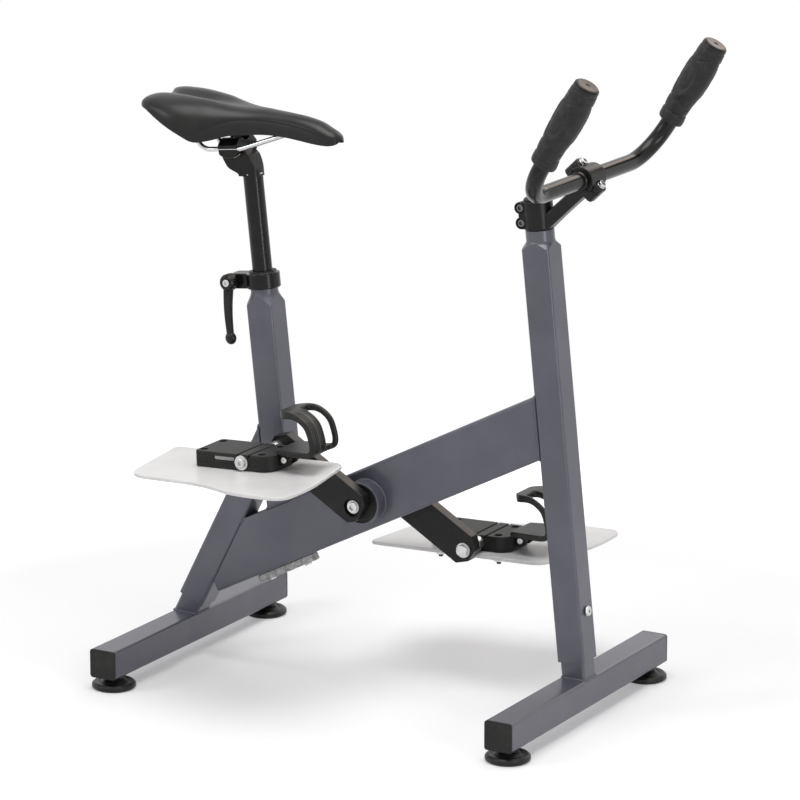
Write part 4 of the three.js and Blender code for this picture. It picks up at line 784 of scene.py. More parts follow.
@dataclass(frozen=True)
class PowderCoat(Finish):
    """Satin grey-blue powder coat with a fine orange peel."""

    name: str = "powder_coat"
    slot: str = "frame_paint"
    colour: Point = (0.080, 0.082, 0.104)
    dusty: Point = (0.100, 0.102, 0.124)
    peel: float = 1.3

    def build(self, graph: Graph) -> bpy.types.Material:
        """Mottled paint with a peel that catches the light."""
        clouds = graph.noise(70, 4)
        peel = graph.noise(self.peel, 2)
        grain = graph.noise(0.35, 2)
        return graph.surface(
            Base_Color=graph.blend(clouds.band(0.35, 0.7), self.colour, self.dusty),
            Metallic=0.3,
            Roughness=0.3 + 0.1 * clouds + 0.05 * grain,
            Coat_Weight=0.3,
            Coat_Roughness=0.14,
            Normal=graph.bump(peel + 0.3 * grain, 0.035),
        )


@dataclass(frozen=True)
class Mottled(Finish):
    """Two tones in soft clouds over a fine relief: paint, plastic, rubber, steel or cast metal."""

    name: str
    slot: str
    colour: Point
    other: Point
    roughness: float
    clouds: tuple[float, ...]
    band: tuple[float, float]
    spread: float
    grain: tuple[float, ...]
    depth: float
    specular: float = 0.5
    metallic: float = 0.0
    cellular: bool = False
    lumps: float = 0.0

    def build(self, graph: Graph) -> bpy.types.Material:
        """Clouds between the tones, rougher towards the second one."""
        clouds = graph.noise(*self.clouds)
        relief = graph.cells(*self.grain) if self.cellular else graph.noise(*self.grain)
        return graph.surface(
            Base_Color=graph.blend(clouds.band(*self.band), self.colour, self.other),
            Metallic=self.metallic,
            Specular_IOR_Level=self.specular,
            Roughness=self.roughness + self.spread * clouds,
            Normal=graph.bump(relief + self.lumps * clouds if self.lumps else relief, self.depth),
        )


@dataclass(frozen=True)
class MilkySheet(Finish):
    """Milky white plastic sheet that lets some light through."""

    name: str = "milky_sheet"
    slot: str = "plate_polymer"
    colour: Point = (0.78, 0.77, 0.755)
    shaded: Point = (0.70, 0.69, 0.68)

    def build(self, graph: Graph) -> bpy.types.Material:
        """Waxy sheet with faint clouds and a fine waxy relief."""
        clouds = graph.noise(60, 3)
        wax = graph.noise(2.5, 3)
        return graph.surface(
            Base_Color=graph.blend(clouds.band(0.3, 0.8), self.colour, self.shaded),
            Roughness=0.3 + 0.12 * wax,
            Subsurface_Weight=0.35,
            Subsurface_Radius=(1.0, 0.95, 0.9),
            Subsurface_Scale=0.004,
            Normal=graph.bump(wax, 0.03),
        )


@dataclass(frozen=True)
class SaddleLeather(Finish):
    """Black synthetic leather with a fine grain and a soft gloss."""

    name: str = "saddle_leather"
    slot: str = "saddle_cover"
    colour: Point = (0.0055, 0.0052, 0.005)
    rubbed: Point = (0.013, 0.0115, 0.0105)
    skirt: Point = (0.011, 0.011, 0.0112)
    roughness: float = 0.28
    grain: float = 0.9

    def build(self, graph: Graph) -> bpy.types.Material:
        """Leather cells with rubbed places, and a dull skirt below the piping."""
        rubbed = graph.noise(40, 3)
        cells = graph.cells(self.grain)
        fine = graph.noise(0.5, 3)
        skirt = Signal(graph, graph.node("ShaderNodeAttribute", {"attribute_name": "skirt"}).outputs["Fac"])
        upper = graph.blend(rubbed.band(0.4, 0.75), self.colour, self.rubbed)
        return graph.surface(
            Base_Color=graph.blend(skirt, upper, self.skirt),
            Roughness=self.roughness + 0.1 * rubbed + 0.3 * skirt,
            Specular_IOR_Level=0.32,
            Sheen_Weight=0.03,
            Sheen_Roughness=0.4,
            Normal=graph.bump(cells + 0.4 * fine, 0.045),
        )


PAINT = PowderCoat()
SHEET = MilkySheet()
LEATHER = SaddleLeather()
BLACK = Mottled("black_paint", "black_paint", (0.0055, 0.0052, 0.0048), (0.015, 0.0135, 0.011), 0.27, (18, 4, 0.65),
                (0.45, 0.8), 0.14, (0.5, 2), 0.025, specular=0.26)
GLOSS = replace(BLACK, name="gloss_black", roughness=0.14)
PLASTIC = Mottled("moulded_plastic", "black_plastic", (0.008, 0.0078, 0.0072), (0.019, 0.0185, 0.017), 0.44,
                  (26, 4, 0.6), (0.4, 0.75), 0.12, (0.55, 2, 0.6), 0.06, specular=0.3)
GLOSS_PLASTIC = replace(PLASTIC, name="gloss_plastic", colour=(0.006, 0.0057, 0.0052), other=(0.015, 0.014, 0.012),
                        roughness=0.24, grain=(0.4, 2, 0.6))
END_DISC = replace(GLOSS_PLASTIC, name="disc_plastic", colour=(0.016, 0.013, 0.012), other=(0.034, 0.027, 0.025))
# Pale grey for the bar in the pedal's side slot: a painted highlight for the light caught in the recess.
HIGHLIGHT_GREY = replace(PLASTIC, name="grey_plastic", colour=(0.36, 0.36, 0.36), other=(0.46, 0.46, 0.45),
                       roughness=0.4)
GRIP = Mottled("grip_rubber", "grip_rubber", (0.013, 0.0125, 0.012), (0.026, 0.025, 0.024), 0.4, (14, 4, 0.6),
               (0.4, 0.7), 0.15, (0.7,), 0.05, specular=0.3, cellular=True)
PAD = replace(GRIP, name="pad_rubber", slot="foot_rubber", colour=(0.007, 0.0067, 0.0065),
              other=(0.016, 0.0155, 0.015), roughness=0.3)
STRAP = replace(GRIP, name="strap_rubber", slot="black_plastic", colour=(0.009, 0.0085, 0.0075),
                other=(0.024, 0.022, 0.019), roughness=0.32)
STEEL = Mottled("bright_steel", "stainless_steel", (0.62, 0.62, 0.62), (0.42, 0.41, 0.40), 0.22, (5, 4, 0.6),
                (0.5, 0.8), 0.16, (0.4, 2), 0.012, metallic=1.0)
DARK_STEEL = replace(STEEL, name="dark_steel", colour=(0.16, 0.16, 0.16), other=(0.10, 0.10, 0.10), roughness=0.28)
ZINC = Mottled("cast_zinc", "anode_alloy", (0.22, 0.22, 0.22), (0.50, 0.50, 0.50), 0.34, (9, 5, 0.65), (0.35, 0.7),
               0.3, (1.6, 4, 0.7), 0.25, metallic=0.75, lumps=2)


# Repeated shapes


Rule = Callable[["Pattern"], None]


class Pattern(Tree):
    """A Geometry Nodes tree that grows repeated shapes along guide lines."""

    def __init__(self, name: str, sizes: dict[str, float | int], rule: Rule) -> None:
        """Opens the tree with its named inputs and lets the rule fill it.

        Args:
            name: of the tree.
            sizes: the inputs' names and values.
            rule: adds the nodes between the guide and the result.
        """
        self.sizes = sizes
        super().__init__(bpy.data.node_groups.new(name, "GeometryNodeTree"))
        kinds = {"Geometry": "Geometry", "Shape": "Object", "Material": "Material"}
        kinds.update((key, "Int" if isinstance(value, int) else "Float") for key, value in sizes.items())
        for key, kind in kinds.items():
            self.tree.interface.new_socket(key, in_out="INPUT", socket_type=f"NodeSocket{kind}")
        self.tree.interface.new_socket("Geometry", in_out="OUTPUT", socket_type="NodeSocketGeometry")
        self.start = self.tree.nodes.new("NodeGroupInput").outputs
        rule(self)

    def ends(self, points: bpy.types.Node | None, shape: bpy.types.Node, sockets: dict[str, object]) -> None:
        """Sets a shape on points, makes the copies real, dresses them and ends the tree.

        Args:
            points: node that gives the points, or None for the guide's own.
            shape: node whose geometry is repeated.
            sockets: further inputs of the copies.
        """
        where = points.outputs[0] if points else self.start["Geometry"]
        placed = self.node("GeometryNodeInstanceOnPoints", {},
                           {"Points": where, "Instance": shape.outputs["Geometry"], **sockets})
        real = self.node("GeometryNodeRealizeInstances", {}, {"Geometry": placed.outputs[0]})
        dressed = self.node("GeometryNodeSetMaterial", {},
                            {"Geometry": real.outputs[0], "Material": self.start["Material"]})
        self.node("NodeGroupOutput", {}, {0: dressed.outputs[0]})
    def grown(self, lines: Sequence[Sequence[Vector]], closed: Sequence[bool], material: bpy.types.Material,
              shape: Solid | None = None) -> bpy.types.Object:
        """Runs the tree over guide lines.

        Args:
            lines: points of each line, in millimetres.
            closed: whether each line closes on itself.
            material: of the result.
            shape: what is repeated, in millimetres, where the tree doesn't make it.

        Returns:
            An object with the plain result.
        """
        points, edges = [], []
        for line, loop in zip(lines, closed):
            start = len(points)
            points += [Vector(point) * MILLIMETRE for point in line]
            edges += [(start + step, start + step + 1) for step in range(len(line) - 1)]
            if loop:
                edges.append((len(points) - 1, start))
        guide = bpy.data.meshes.new("guide")
        guide.from_pydata(points, edges, [])
        item = linked("guide", guide)
        model = shape.placed(Matrix.Scale(MILLIMETRE, 4)).trial() if shape else None
        modifier = item.modifiers.new("grow", "NODES")
        modifier.node_group = self.tree
        values = {**self.sizes, "Shape": model, "Material": material}
        for socket in self.tree.interface.items_tree:
            if socket.in_out == "INPUT" and values.get(socket.name) is not None:
                modifier[socket.identifier] = values[socket.name]
        result = evaluated(item)
        item.modifiers.remove(modifier)
        item.data = result
        bpy.data.meshes.remove(guide)
        if model:
            remove(model)
        return item


def ripple_rule(pattern: Pattern) -> None:
    """Flat drops set close together along each guide line, like a weld bead."""
    curve = pattern.node("GeometryNodeMeshToCurve", {}, {"Mesh": pattern.start["Geometry"]})
    even = pattern.node("GeometryNodeResampleCurve", {"mode": "LENGTH"},
                        {"Curve": curve.outputs[0], "Length": pattern.start["Pitch"]})
    tangent = pattern.node("GeometryNodeInputTangent")
    turn = pattern.node("FunctionNodeAlignRotationToVector", {"axis": "Z"}, {"Vector": tangent.outputs[0]})
    size = pattern.node("FunctionNodeRandomValue", {"data_type": "FLOAT_VECTOR"},
                        {0: (0.9, 0.9, 0.62), 1: (1.08, 1.08, 0.78), "Seed": 7})
    sizes = {"Segments": pattern.start["Sides"], "Rings": pattern.start["Rings"], "Radius": pattern.start["Radius"]}
    drop = pattern.node("GeometryNodeMeshUVSphere", {}, sizes)
    smooth = pattern.node("GeometryNodeSetShadeSmooth", {}, {"Geometry": drop.outputs[0]})
    pattern.ends(even, smooth, {"Rotation": turn.outputs[0], "Scale": size.outputs[0]})


def place_rule(pattern: Pattern) -> None:
    """One copy of a shape at each point of the guide."""
    shape = pattern.node("GeometryNodeObjectInfo", {}, {"Object": pattern.start["Shape"]})
    pattern.ends(None, shape, {"Scale": pattern.start["Size"]})


def repeat(shape: Solid, points: Sequence[Vector], name: str, finish: Finish, body: str, place: Matrix) -> None:
    """Sets copies of a shape at points and finishes them as one piece.

    Args:
        shape: that is repeated.
        points: where the copies go.
        name: of the piece.
        finish: that it wears.
        body: that it rides on.
        place: of the points' frame.
    """
    copies = Pattern(f"{name}_rule", {"Size": 1.0}, place_rule).grown([points], [False], finish.material(), shape)
    finish_piece(copies, finish, body, name=name, place=place)


# Places of the bike


def joint_place(name: str) -> Vector:
    """Where a joint of the bike sits, in millimetres."""
    row = next(row for row in frame["joints"] if row["name"] == name)
    return Vector(row["pos_m"]) / MILLIMETRE


CRANK = joint_place("crank_spin")
POST_LEAN = -6.2
BEAM_SLOPE = 27.0
CRANK_SLOPE = 31.1
REAR_X = CRANK.x - 294.3
BEAM_TOP = 59.0
TUBE_HALF = 20.0
TUBE_CORNER = 4.0
SQUARE = rectangle(TUBE_HALF, TUBE_HALF, TUBE_CORNER)
FRONT_POST = at(REAR_X + 607, z=BEAM_TOP, turn=POST_LEAN)
REAR_POST = at(REAR_X, z=BEAM_TOP, turn=BEAM_SLOPE)
BEAM = at(CRANK.x, z=CRANK.z, turn=-BEAM_SLOPE)
SEAT_TUBE = BEAM @ at(-136, z=42, turn=BEAM_SLOPE + POST_LEAN)
STEM = FRONT_POST @ at(z=601.3)
BAR = STEM @ at(75.4, z=65.3, turn=-POST_LEAN)
FACEPLATE = BAR @ at(turn=-44)
SEAT_SLIDE = SEAT_TUBE @ at(z=317.5)
CLAMP = SEAT_SLIDE @ at(-20, z=172)
SADDLE = CLAMP @ at(turn=-POST_LEAN)


BACKED = Matrix.Diagonal((1, -1, 1, 1)) @ Axis.Y.turn()


def axis_of(place: Matrix, axis: Vector) -> Vector:
    """A direction of a place, in the bike's frame."""
    return place.to_3x3() @ axis


def sided(side: Side) -> Matrix:
    """Mirrors what is drawn for the left side onto a side."""
    return Matrix.Diagonal((1, side.value, 1, 1))


class Assembly(ABC):
    """A sub-assembly of the bike."""

    @abstractmethod
    def build(self) -> None:
        """Builds and dresses the pieces."""


@dataclass(frozen=True)
class SocketScrew:
    """A round-headed screw with a hexagon socket, its seat at zero and its head up."""

    radius: float
    height: float
    socket: float
    crown: float = 0.8
    flange: float = 0.0
    flange_height: float = 1.0

    def solid(self) -> Solid:
        """The screw's head."""
        hole = Solid.prism(hexagon(self.socket), self.height * 0.4, self.height + 1)
        head = Solid.bar(self.radius, 0, self.height, edge=self.crown).cut(hole)
        return head.beside(Solid.bar(self.flange, 0, self.flange_height, edge=0.3)) if self.flange else head

    def driven(self, place: Matrix, name: str, body: str, node: str = "", finish: Finish = STEEL) -> None:
        """Puts the screw in its place as a piece of its own.

        Args:
            place: of its seat, its head up.
            name: of the piece.
            body: that it rides on.
            node: that it stands for, if any.
            finish: that it wears.
        """
        self.solid().placed(place).piece(name, finish, body, [node] if node else [])


@dataclass(frozen=True)
class RibbedWasher:
    """A washer with a serrated rim."""

    radius: float
    thickness: float
    teeth: int = 28
    depth: float = 0.5

    def solid(self) -> Solid:
        """The washer, from zero up, its rim four points to a tooth."""
        rim = circle(1, self.teeth * 4)
        reaches = [self.radius - (self.depth if step % 4 < 2 else 0) for step in range(len(rim))]
        return Solid.prism([(reach * x, reach * y) for reach, (x, y) in zip(reaches, rim)], 0, self.thickness)


@dataclass
class FootBeam(Assembly):
    """A square tube across the floor with the stub of its post, end caps and levelling feet."""

    name: str
    post: Matrix
    half_length: float = 222.2
    cap_gap: float = 0.3
    cap_thickness: float = 2.5
    cap_edge: float = 0.9
    stub_half: float = 17.2
    stub_reach: float = 40.0
    foot_place: float = 197.0
    stud_radius: float = 4.9
    stud_reach: float = 45.0
    nut_flats: float = 17.0
    nut_low: float = 12.4
    nut_high: float = 18.7

    def build(self) -> None:
        """Builds the tube and what closes and carries it."""
        upright = Matrix.Translation(self.post.translation)
        tube = Solid.prism(SQUARE, -self.half_length, self.half_length, Axis.Y).moved(z=-TUBE_HALF)
        stub = Solid.prism(rectangle(self.stub_half, self.stub_half, TUBE_CORNER), -TUBE_HALF / 2, self.stub_reach)
        stub.placed(self.post.to_3x3().to_4x4())
        holes = [Solid.bar(self.stud_radius + 0.4, -3 * TUBE_HALF, -TUBE_HALF / 2, edge=0, sides=32)
                 .moved(y=side.value * self.foot_place) for side in Side]
        shaped = tube.joined(stub).cut(*holes).placed(upright)
        shaped.piece(f"{self.name}_foot_tube", PAINT, "frame", [f"{self.name}_foot_beam"])
        for side in Side:
            self.cap(upright, side)
            self.foot(side)

    def cap(self, upright: Matrix, side: Side) -> None:
        """The black cap in one end of the tube."""
        low = self.half_length + self.cap_gap
        high = low + self.cap_thickness
        cap = Solid.prism(SQUARE, low, high, Axis.Y)
        cap.eased(self.cap_edge, 3, 40, lambda middle: middle.y > low + self.cap_thickness / 2)
        cap = cap.cut(Solid.bar(1.6, high - 0.3, high + 1, Axis.Y, edge=0, sides=24))
        cap.placed(upright @ at(z=-TUBE_HALF) @ sided(side))
        cap.piece(f"{self.name}_{side.word}_end_cap", PLASTIC, "frame", [f"{self.name}_{side.word}_cap"])

    def foot(self, side: Side) -> None:
        """A levelling foot: a domed rubber pad, a nut and a stud that goes up into the tube."""
        body = f"{self.name}_{side.word}_foot"
        place = Matrix.Translation((self.post.translation.x, side.value * self.foot_place, 0))
        profile = fillet([(0, 0, 0), (27, 0, 1), (30, 2.4, 2.2), (30, 6.9, 2.8), (26.4, 9.9, 2), (21.2, 9.3, 0.8),
                          (19.6, 8.3, 0.8), (14.6, 12.2, 2), (13, 13.4, 0.5), (0, 13.4, 0)], 5)
        pad = Solid.turned(profile, sides=96).placed(place)
        pad.piece(f"{body}_pad", PAD, body, [f"{self.name}_{side.word}_levelling_foot"])
        Solid.nut(self.nut_flats, self.nut_low, self.nut_high).placed(place).piece(f"{body}_nut", GLOSS, body)
        stud = Solid.bar(self.stud_radius, self.nut_low, self.stud_reach, sides=32).placed(place)
        stud.piece(f"{body}_stud", STEEL, body)


@dataclass
class FrameTubes(Assembly):
    """The welded posts, the seat tube, the main beam and the crank shell."""

    foot_gap: float = 23.0
    front_square: float = 576.5
    front_neck: float = 19.0
    front_top: float = 601.0
    seat_square: float = 275.0
    seat_neck: float = 18.75
    seat_top: float = 318.5
    slot_half: float = 1.5
    slot_depth: float = 34.0
    beam_low: float = -38.0
    beam_high: float = 42.0
    heel: float = 16.0
    reach: float = 640.0
    corner_reach: float = 28.0
    shell_outer: float = 29.0
    shell_inner: float = 26.0
    shell_half: float = 40.0
    bolt_height: float = 89.5
    bolt: SocketScrew = SocketScrew(7.0, 4.5, 4.0, 2.2)

    def build(self) -> None:
        """Builds the tubes and their bolts."""
        front = self.drawn(self.foot_gap, self.front_square, 12, self.front_neck, self.front_top)
        front.placed(FRONT_POST).piece("front_post_tube", PAINT, "frame", ["front_post"])
        self.seat_tube()
        self.rear_post()
        self.main_beam()
        shell = Solid.ring(self.shell_outer, self.shell_inner, -self.shell_half, self.shell_half, Axis.Y, 0.8, 96)
        shell.moved(*CRANK).piece("crank_housing", PAINT, "frame", ["crank_shell"])
        dress(PLASTIC, "crank_bearing_right", "crank_bearing_left", "seat_post_shim")
        for name, post, turn in (("front", FRONT_POST, 90), ("rear", REAR_POST, -90)):
            place = post @ at(z=self.bolt_height, turn=turn) @ at(z=TUBE_HALF + GAP)
            self.bolt.driven(place, f"{name}_post_screw", "frame", f"{name}_post_bolt")

    def drawn(self, low: float, square: float, shoulder: float, neck: float, top: float) -> Solid:
        """A square tube whose top is swaged down to a round neck.

        Args:
            low: the tube's lower end.
            square: where the swage begins.
            shoulder: height of the swage.
            neck: radius of the round neck.
            top: of the neck.

        Returns:
            The tube, closed.
        """
        tube = Solid.prism(rectangle(TUBE_HALF, TUBE_HALF, TUBE_CORNER, 8), low, top)
        start = square - shoulder * 0.35
        swage = [(neck + (self.corner_reach - neck) * (1 + math.cos(math.pi * step / 12)) / 2,
                  start + shoulder * 1.25 * step / 12) for step in range(13)]
        wide = self.corner_reach + 2
        profile = [(0, low - 1), (wide, low - 1), (wide, start - 0.5), *swage,
                   (neck, top - 0.8), (neck - 0.8, top), (0, top)]
        return tube.combined("INTERSECT", [Solid.turned(profile, sides=96)])

    def seat_tube(self) -> None:
        """The seat tube, slotted at the back of its neck and mitred onto the main beam."""
        tube = self.drawn(-2 * TUBE_HALF, self.seat_square, 20, self.seat_neck, self.seat_top)
        slot = Solid.block((-3 * TUBE_HALF, -self.slot_half, self.seat_top - self.slot_depth),
                           (0, self.slot_half, self.seat_top + 1))
        tube = tube.cut(slot).placed(SEAT_TUBE)
        tube.trimmed(BEAM @ Vector((0, 0, self.beam_high + GAP)), -axis_of(BEAM, UP))
        tube.piece("seat_tube_mitred", PAINT, "frame", ["seat_tube"])

    def rear_post(self) -> None:
        """The rear post, mitred onto the back of the seat tube."""
        tube = Solid.prism(rectangle(TUBE_HALF, TUBE_HALF, TUBE_CORNER, 8), self.foot_gap, self.reach)
        tube.placed(REAR_POST).trimmed(SEAT_TUBE @ Vector((-TUBE_HALF - GAP, 0, 0)), axis_of(SEAT_TUBE, FORWARD))
        tube.piece("rear_post_tube", PAINT, "frame", ["rear_post"])

    def beam_section(self, steps: int) -> tuple[Matrix, Outline]:
        """The main beam's middle line, along Z, and its outline."""
        middle, half = (self.beam_low + self.beam_high) / 2, (self.beam_high - self.beam_low) / 2
        return BEAM @ at(z=middle) @ Axis.X.turn(), rectangle(half, TUBE_HALF, TUBE_CORNER, steps)

    def main_beam(self) -> None:
        """The deep beam between the posts, with a square heel at its lower rear corner."""
        place, section = self.beam_section(8)
        beam = Solid.prism(section, -self.reach, self.reach).placed(place)
        rear = REAR_POST @ Vector((TUBE_HALF + GAP, 0, 0))
        beam.trimmed(FRONT_POST @ Vector((-TUBE_HALF - GAP, 0, 0)), axis_of(FRONT_POST, FORWARD))
        beam.trimmed(rear, -axis_of(REAR_POST, FORWARD))
        local = BEAM.inverted() @ rear
        lean = axis_of(BEAM.inverted() @ REAR_POST, UP)
        heel_top = self.beam_low + self.heel
        heel_x = local.x + lean.x * (heel_top - local.z) / lean.z
        notch = Solid.block((-self.reach, -2 * TUBE_HALF, self.beam_low - 1), (heel_x, 2 * TUBE_HALF, heel_top))
        beam.cut(notch.placed(BEAM)).piece("main_beam_tube", PAINT, "frame", ["main_beam"])


@dataclass
class WeldBeads(Assembly):
    """Rippled weld beads round the joints of the frame."""

    pitch: float = 1.5
    radius: float = 1.9
    sides: int = 8
    rings: int = 5

    def build(self) -> None:
        """Lays the guide lines and turns them into beads."""
        tubes = FrameTubes()
        square = rectangle(TUBE_HALF, TUBE_HALF, TUBE_CORNER, 4)
        stub = rectangle(FootBeam.stub_half, FootBeam.stub_half, TUBE_CORNER, 4)
        beam, section = tubes.beam_section(4)
        rows = (
            (FRONT_POST, stub, FRONT_POST.translation, UP),
            (REAR_POST, stub, REAR_POST.translation, UP),
            (beam, section, FRONT_POST @ Vector((-TUBE_HALF, 0, 0)), axis_of(FRONT_POST, FORWARD)),
            (beam, section, REAR_POST @ Vector((TUBE_HALF, 0, 0)), axis_of(REAR_POST, FORWARD)),
            (SEAT_TUBE, square, BEAM @ Vector((0, 0, tubes.beam_high)), axis_of(BEAM, UP)),
            (REAR_POST, square, SEAT_TUBE @ Vector((-TUBE_HALF, 0, 0)), axis_of(SEAT_TUBE, FORWARD)),
        )
        lines = [self.landing(*row) for row in rows]
        heel = tubes.beam_low + tubes.heel
        lines[3] = [point for point in lines[3] if (BEAM.inverted() @ point).z > heel - 1]
        lines += [[CRANK + Vector((x, side.value * TUBE_HALF, z)) for x, z in circle(tubes.shell_outer, 72)]
                  for side in Side]
        sizes = {"Pitch": self.pitch * MILLIMETRE, "Radius": self.radius * MILLIMETRE, "Sides": self.sides,
                 "Rings": self.rings}
        closed = [index != 3 for index in range(len(lines))]
        beads = Pattern("weld_bead_rule", sizes, ripple_rule).grown(lines, closed, PAINT.material())
        finish_piece(beads, PAINT, "frame", name="weld_beads")

    @staticmethod
    def landing(place: Matrix, outline: Outline, point: Vector, normal: Vector) -> list[Vector]:
        """Where the edges of a tube meet a plane.

        Args:
            place: of the tube, its length along Z.
            outline: of the tube.
            point: on the plane.
            normal: of the plane.

        Returns:
            The points round the tube.
        """
        along = axis_of(place, UP)
        starts = [place @ Vector((x, y, 0)) for x, y in outline]
        return [start + along * ((point - start).dot(normal) / along.dot(normal)) for start in starts]


@dataclass
class Anode(Assembly):
    """The rough zinc bar bolted under the main beam."""

    length: float = 96.0
    half_width: float = 10.0
    thickness: float = 10.5
    setback: float = 222.0
    screw_inset: float = 16.0
    ripple: float = 0.7
    seed: int = 7
    screw: SocketScrew = SocketScrew(5.0, 2.6, 3.2, 0.7)

    def build(self) -> None:
        """Builds the bar and its two screws."""
        place = BEAM @ at(-self.setback, z=FrameTubes.beam_low - GAP)
        outline = fillet([(0, -self.half_width, 3), (self.length, -self.half_width, 4),
                          (self.length, self.half_width, 4), (0, self.half_width, 3)], 5)
        bar = Solid.prism(outline, -self.thickness, 0).eased(1.4, 3, 40)
        bar.sliced(FORWARD, range(3, int(self.length / 3) * 3, 3)).sliced(ACROSS, range(-6, 7, 3))
        noise.seed_set(self.seed)
        for vert in bar.mesh.verts:
            if vert.co.z <= -2:
                vert.co += noise.noise_vector(vert.co * 0.11) * self.ripple
        bar.placed(place).piece("zinc_anode", ZINC, "frame", ["sacrificial_anode"])
        for index, along in enumerate((self.screw_inset, self.length - self.screw_inset)):
            self.screw.driven(place @ at(along, z=-self.thickness + 0.4, turn=180), f"anode_screw_{index}", "frame")


@dataclass
class CrankSet(Assembly):
    """Crank arms, their bolts and the pedal spindles."""

    radius: float = 132.8
    half_width: float = 23.0
    rear: float = 14.0
    inner: float = 42.6
    outer: float = 60.6
    rear_chamfer: float = 9.0
    front_chamfer: float = 14.0
    bevel: float = 1.2
    recess_radius: float = 12.5
    recess_depth: float = 5.0
    shoulder_radius: float = 10.0
    tip_radius: float = 6.0
    pedal_inner: float = 85.0
    pedal_outer: float = 155.0
    bolt: SocketScrew = SocketScrew(7.2, 4.9, 8.0, 0.8, 9.1, 1.8)
    end_bolt: SocketScrew = SocketScrew(6.6, 4.0, 5.0, 0.7)
    washer: RibbedWasher = RibbedWasher(10.2, 1.6)

    def build(self) -> None:
        """Builds both sides."""
        dress(STEEL, "crank_axle")
        for side in Side:
            self.arm(side)
            self.spindle(side)

    def spun(self, side: Side) -> Matrix:
        """The place of an arm, its length along X."""
        return at(CRANK.x, 0, CRANK.z, CRANK_SLOPE + (0 if side is Side.LEFT else 180)) @ sided(side)

    def arm(self, side: Side) -> None:
        """A flat bar with cut corners, a recess and its bolt."""
        end = self.radius + self.rear
        half = self.half_width
        edge = [(end, half - self.front_chamfer), (end - self.front_chamfer, half),
                (self.rear_chamfer - self.rear, half), (-self.rear, half - self.rear_chamfer)]
        outline = [*[(x, -y) for x, y in reversed(edge)], *edge]
        bar = Solid.prism(outline, self.inner, self.outer, Axis.Y).eased(self.bevel, 4, 20)
        seat = self.outer - self.recess_depth
        recess = Solid.bar(self.recess_radius, seat, self.outer + 1, Axis.Y, edge=0, sides=96)
        lip = Solid.turned([(0, self.outer - 0.7), (self.recess_radius, self.outer - 0.7),
                            (self.recess_radius + 1.2, self.outer + 0.5), (0, self.outer + 0.5)], Axis.Y, 96)
        bar = bar.cut(recess, lip).placed(self.spun(side))
        bar.piece(f"crank_bar_{side.word}", BLACK, "crank_set", [f"crank_arm_{side.word}"])
        place = self.spun(side) @ at(y=seat + GAP) @ Axis.Y.turn()
        self.bolt.driven(place, f"crank_screw_{side.word}", "crank_set", f"crank_bolt_{side.word}")

    def spindle(self, side: Side) -> None:
        """The pedal's axle with its hexagon head inside and its end bolt outside."""
        place = self.spun(side) @ at(self.radius)
        inner = self.inner - GAP
        head = Solid.nut(16, 0, 5.2).placed(at(y=inner - 0.8) @ BACKED)
        flange = Solid.bar(10.4, inner - 1.4, inner, Axis.Y, edge=0.4)
        shoulder = Solid.bar(self.shoulder_radius, self.outer + GAP, self.pedal_inner - GAP, Axis.Y, edge=0.8)
        groove = Solid.ring(self.shoulder_radius + 1, self.shoulder_radius - 1.2, 70, 72.4, Axis.Y, 0.2)
        tip = Solid.bar(self.tip_radius, self.pedal_inner - 2, self.pedal_outer, Axis.Y, edge=0.3, sides=32)
        shaft = shoulder.cut(groove).beside(head, flange, tip).placed(place)
        shaft.piece(f"pedal_axle_{side.word}", STEEL, "crank_set", [f"pedal_spindle_{side.word}"])
        cover = self.washer.solid().beside(self.end_bolt.solid().moved(z=self.washer.thickness))
        cover.placed(place @ at(y=self.pedal_outer + GAP) @ Axis.Y.turn())
        cover.piece(f"pedal_axle_screw_{side.word}", STEEL, "crank_set", [f"pedal_end_bolt_{side.word}"])


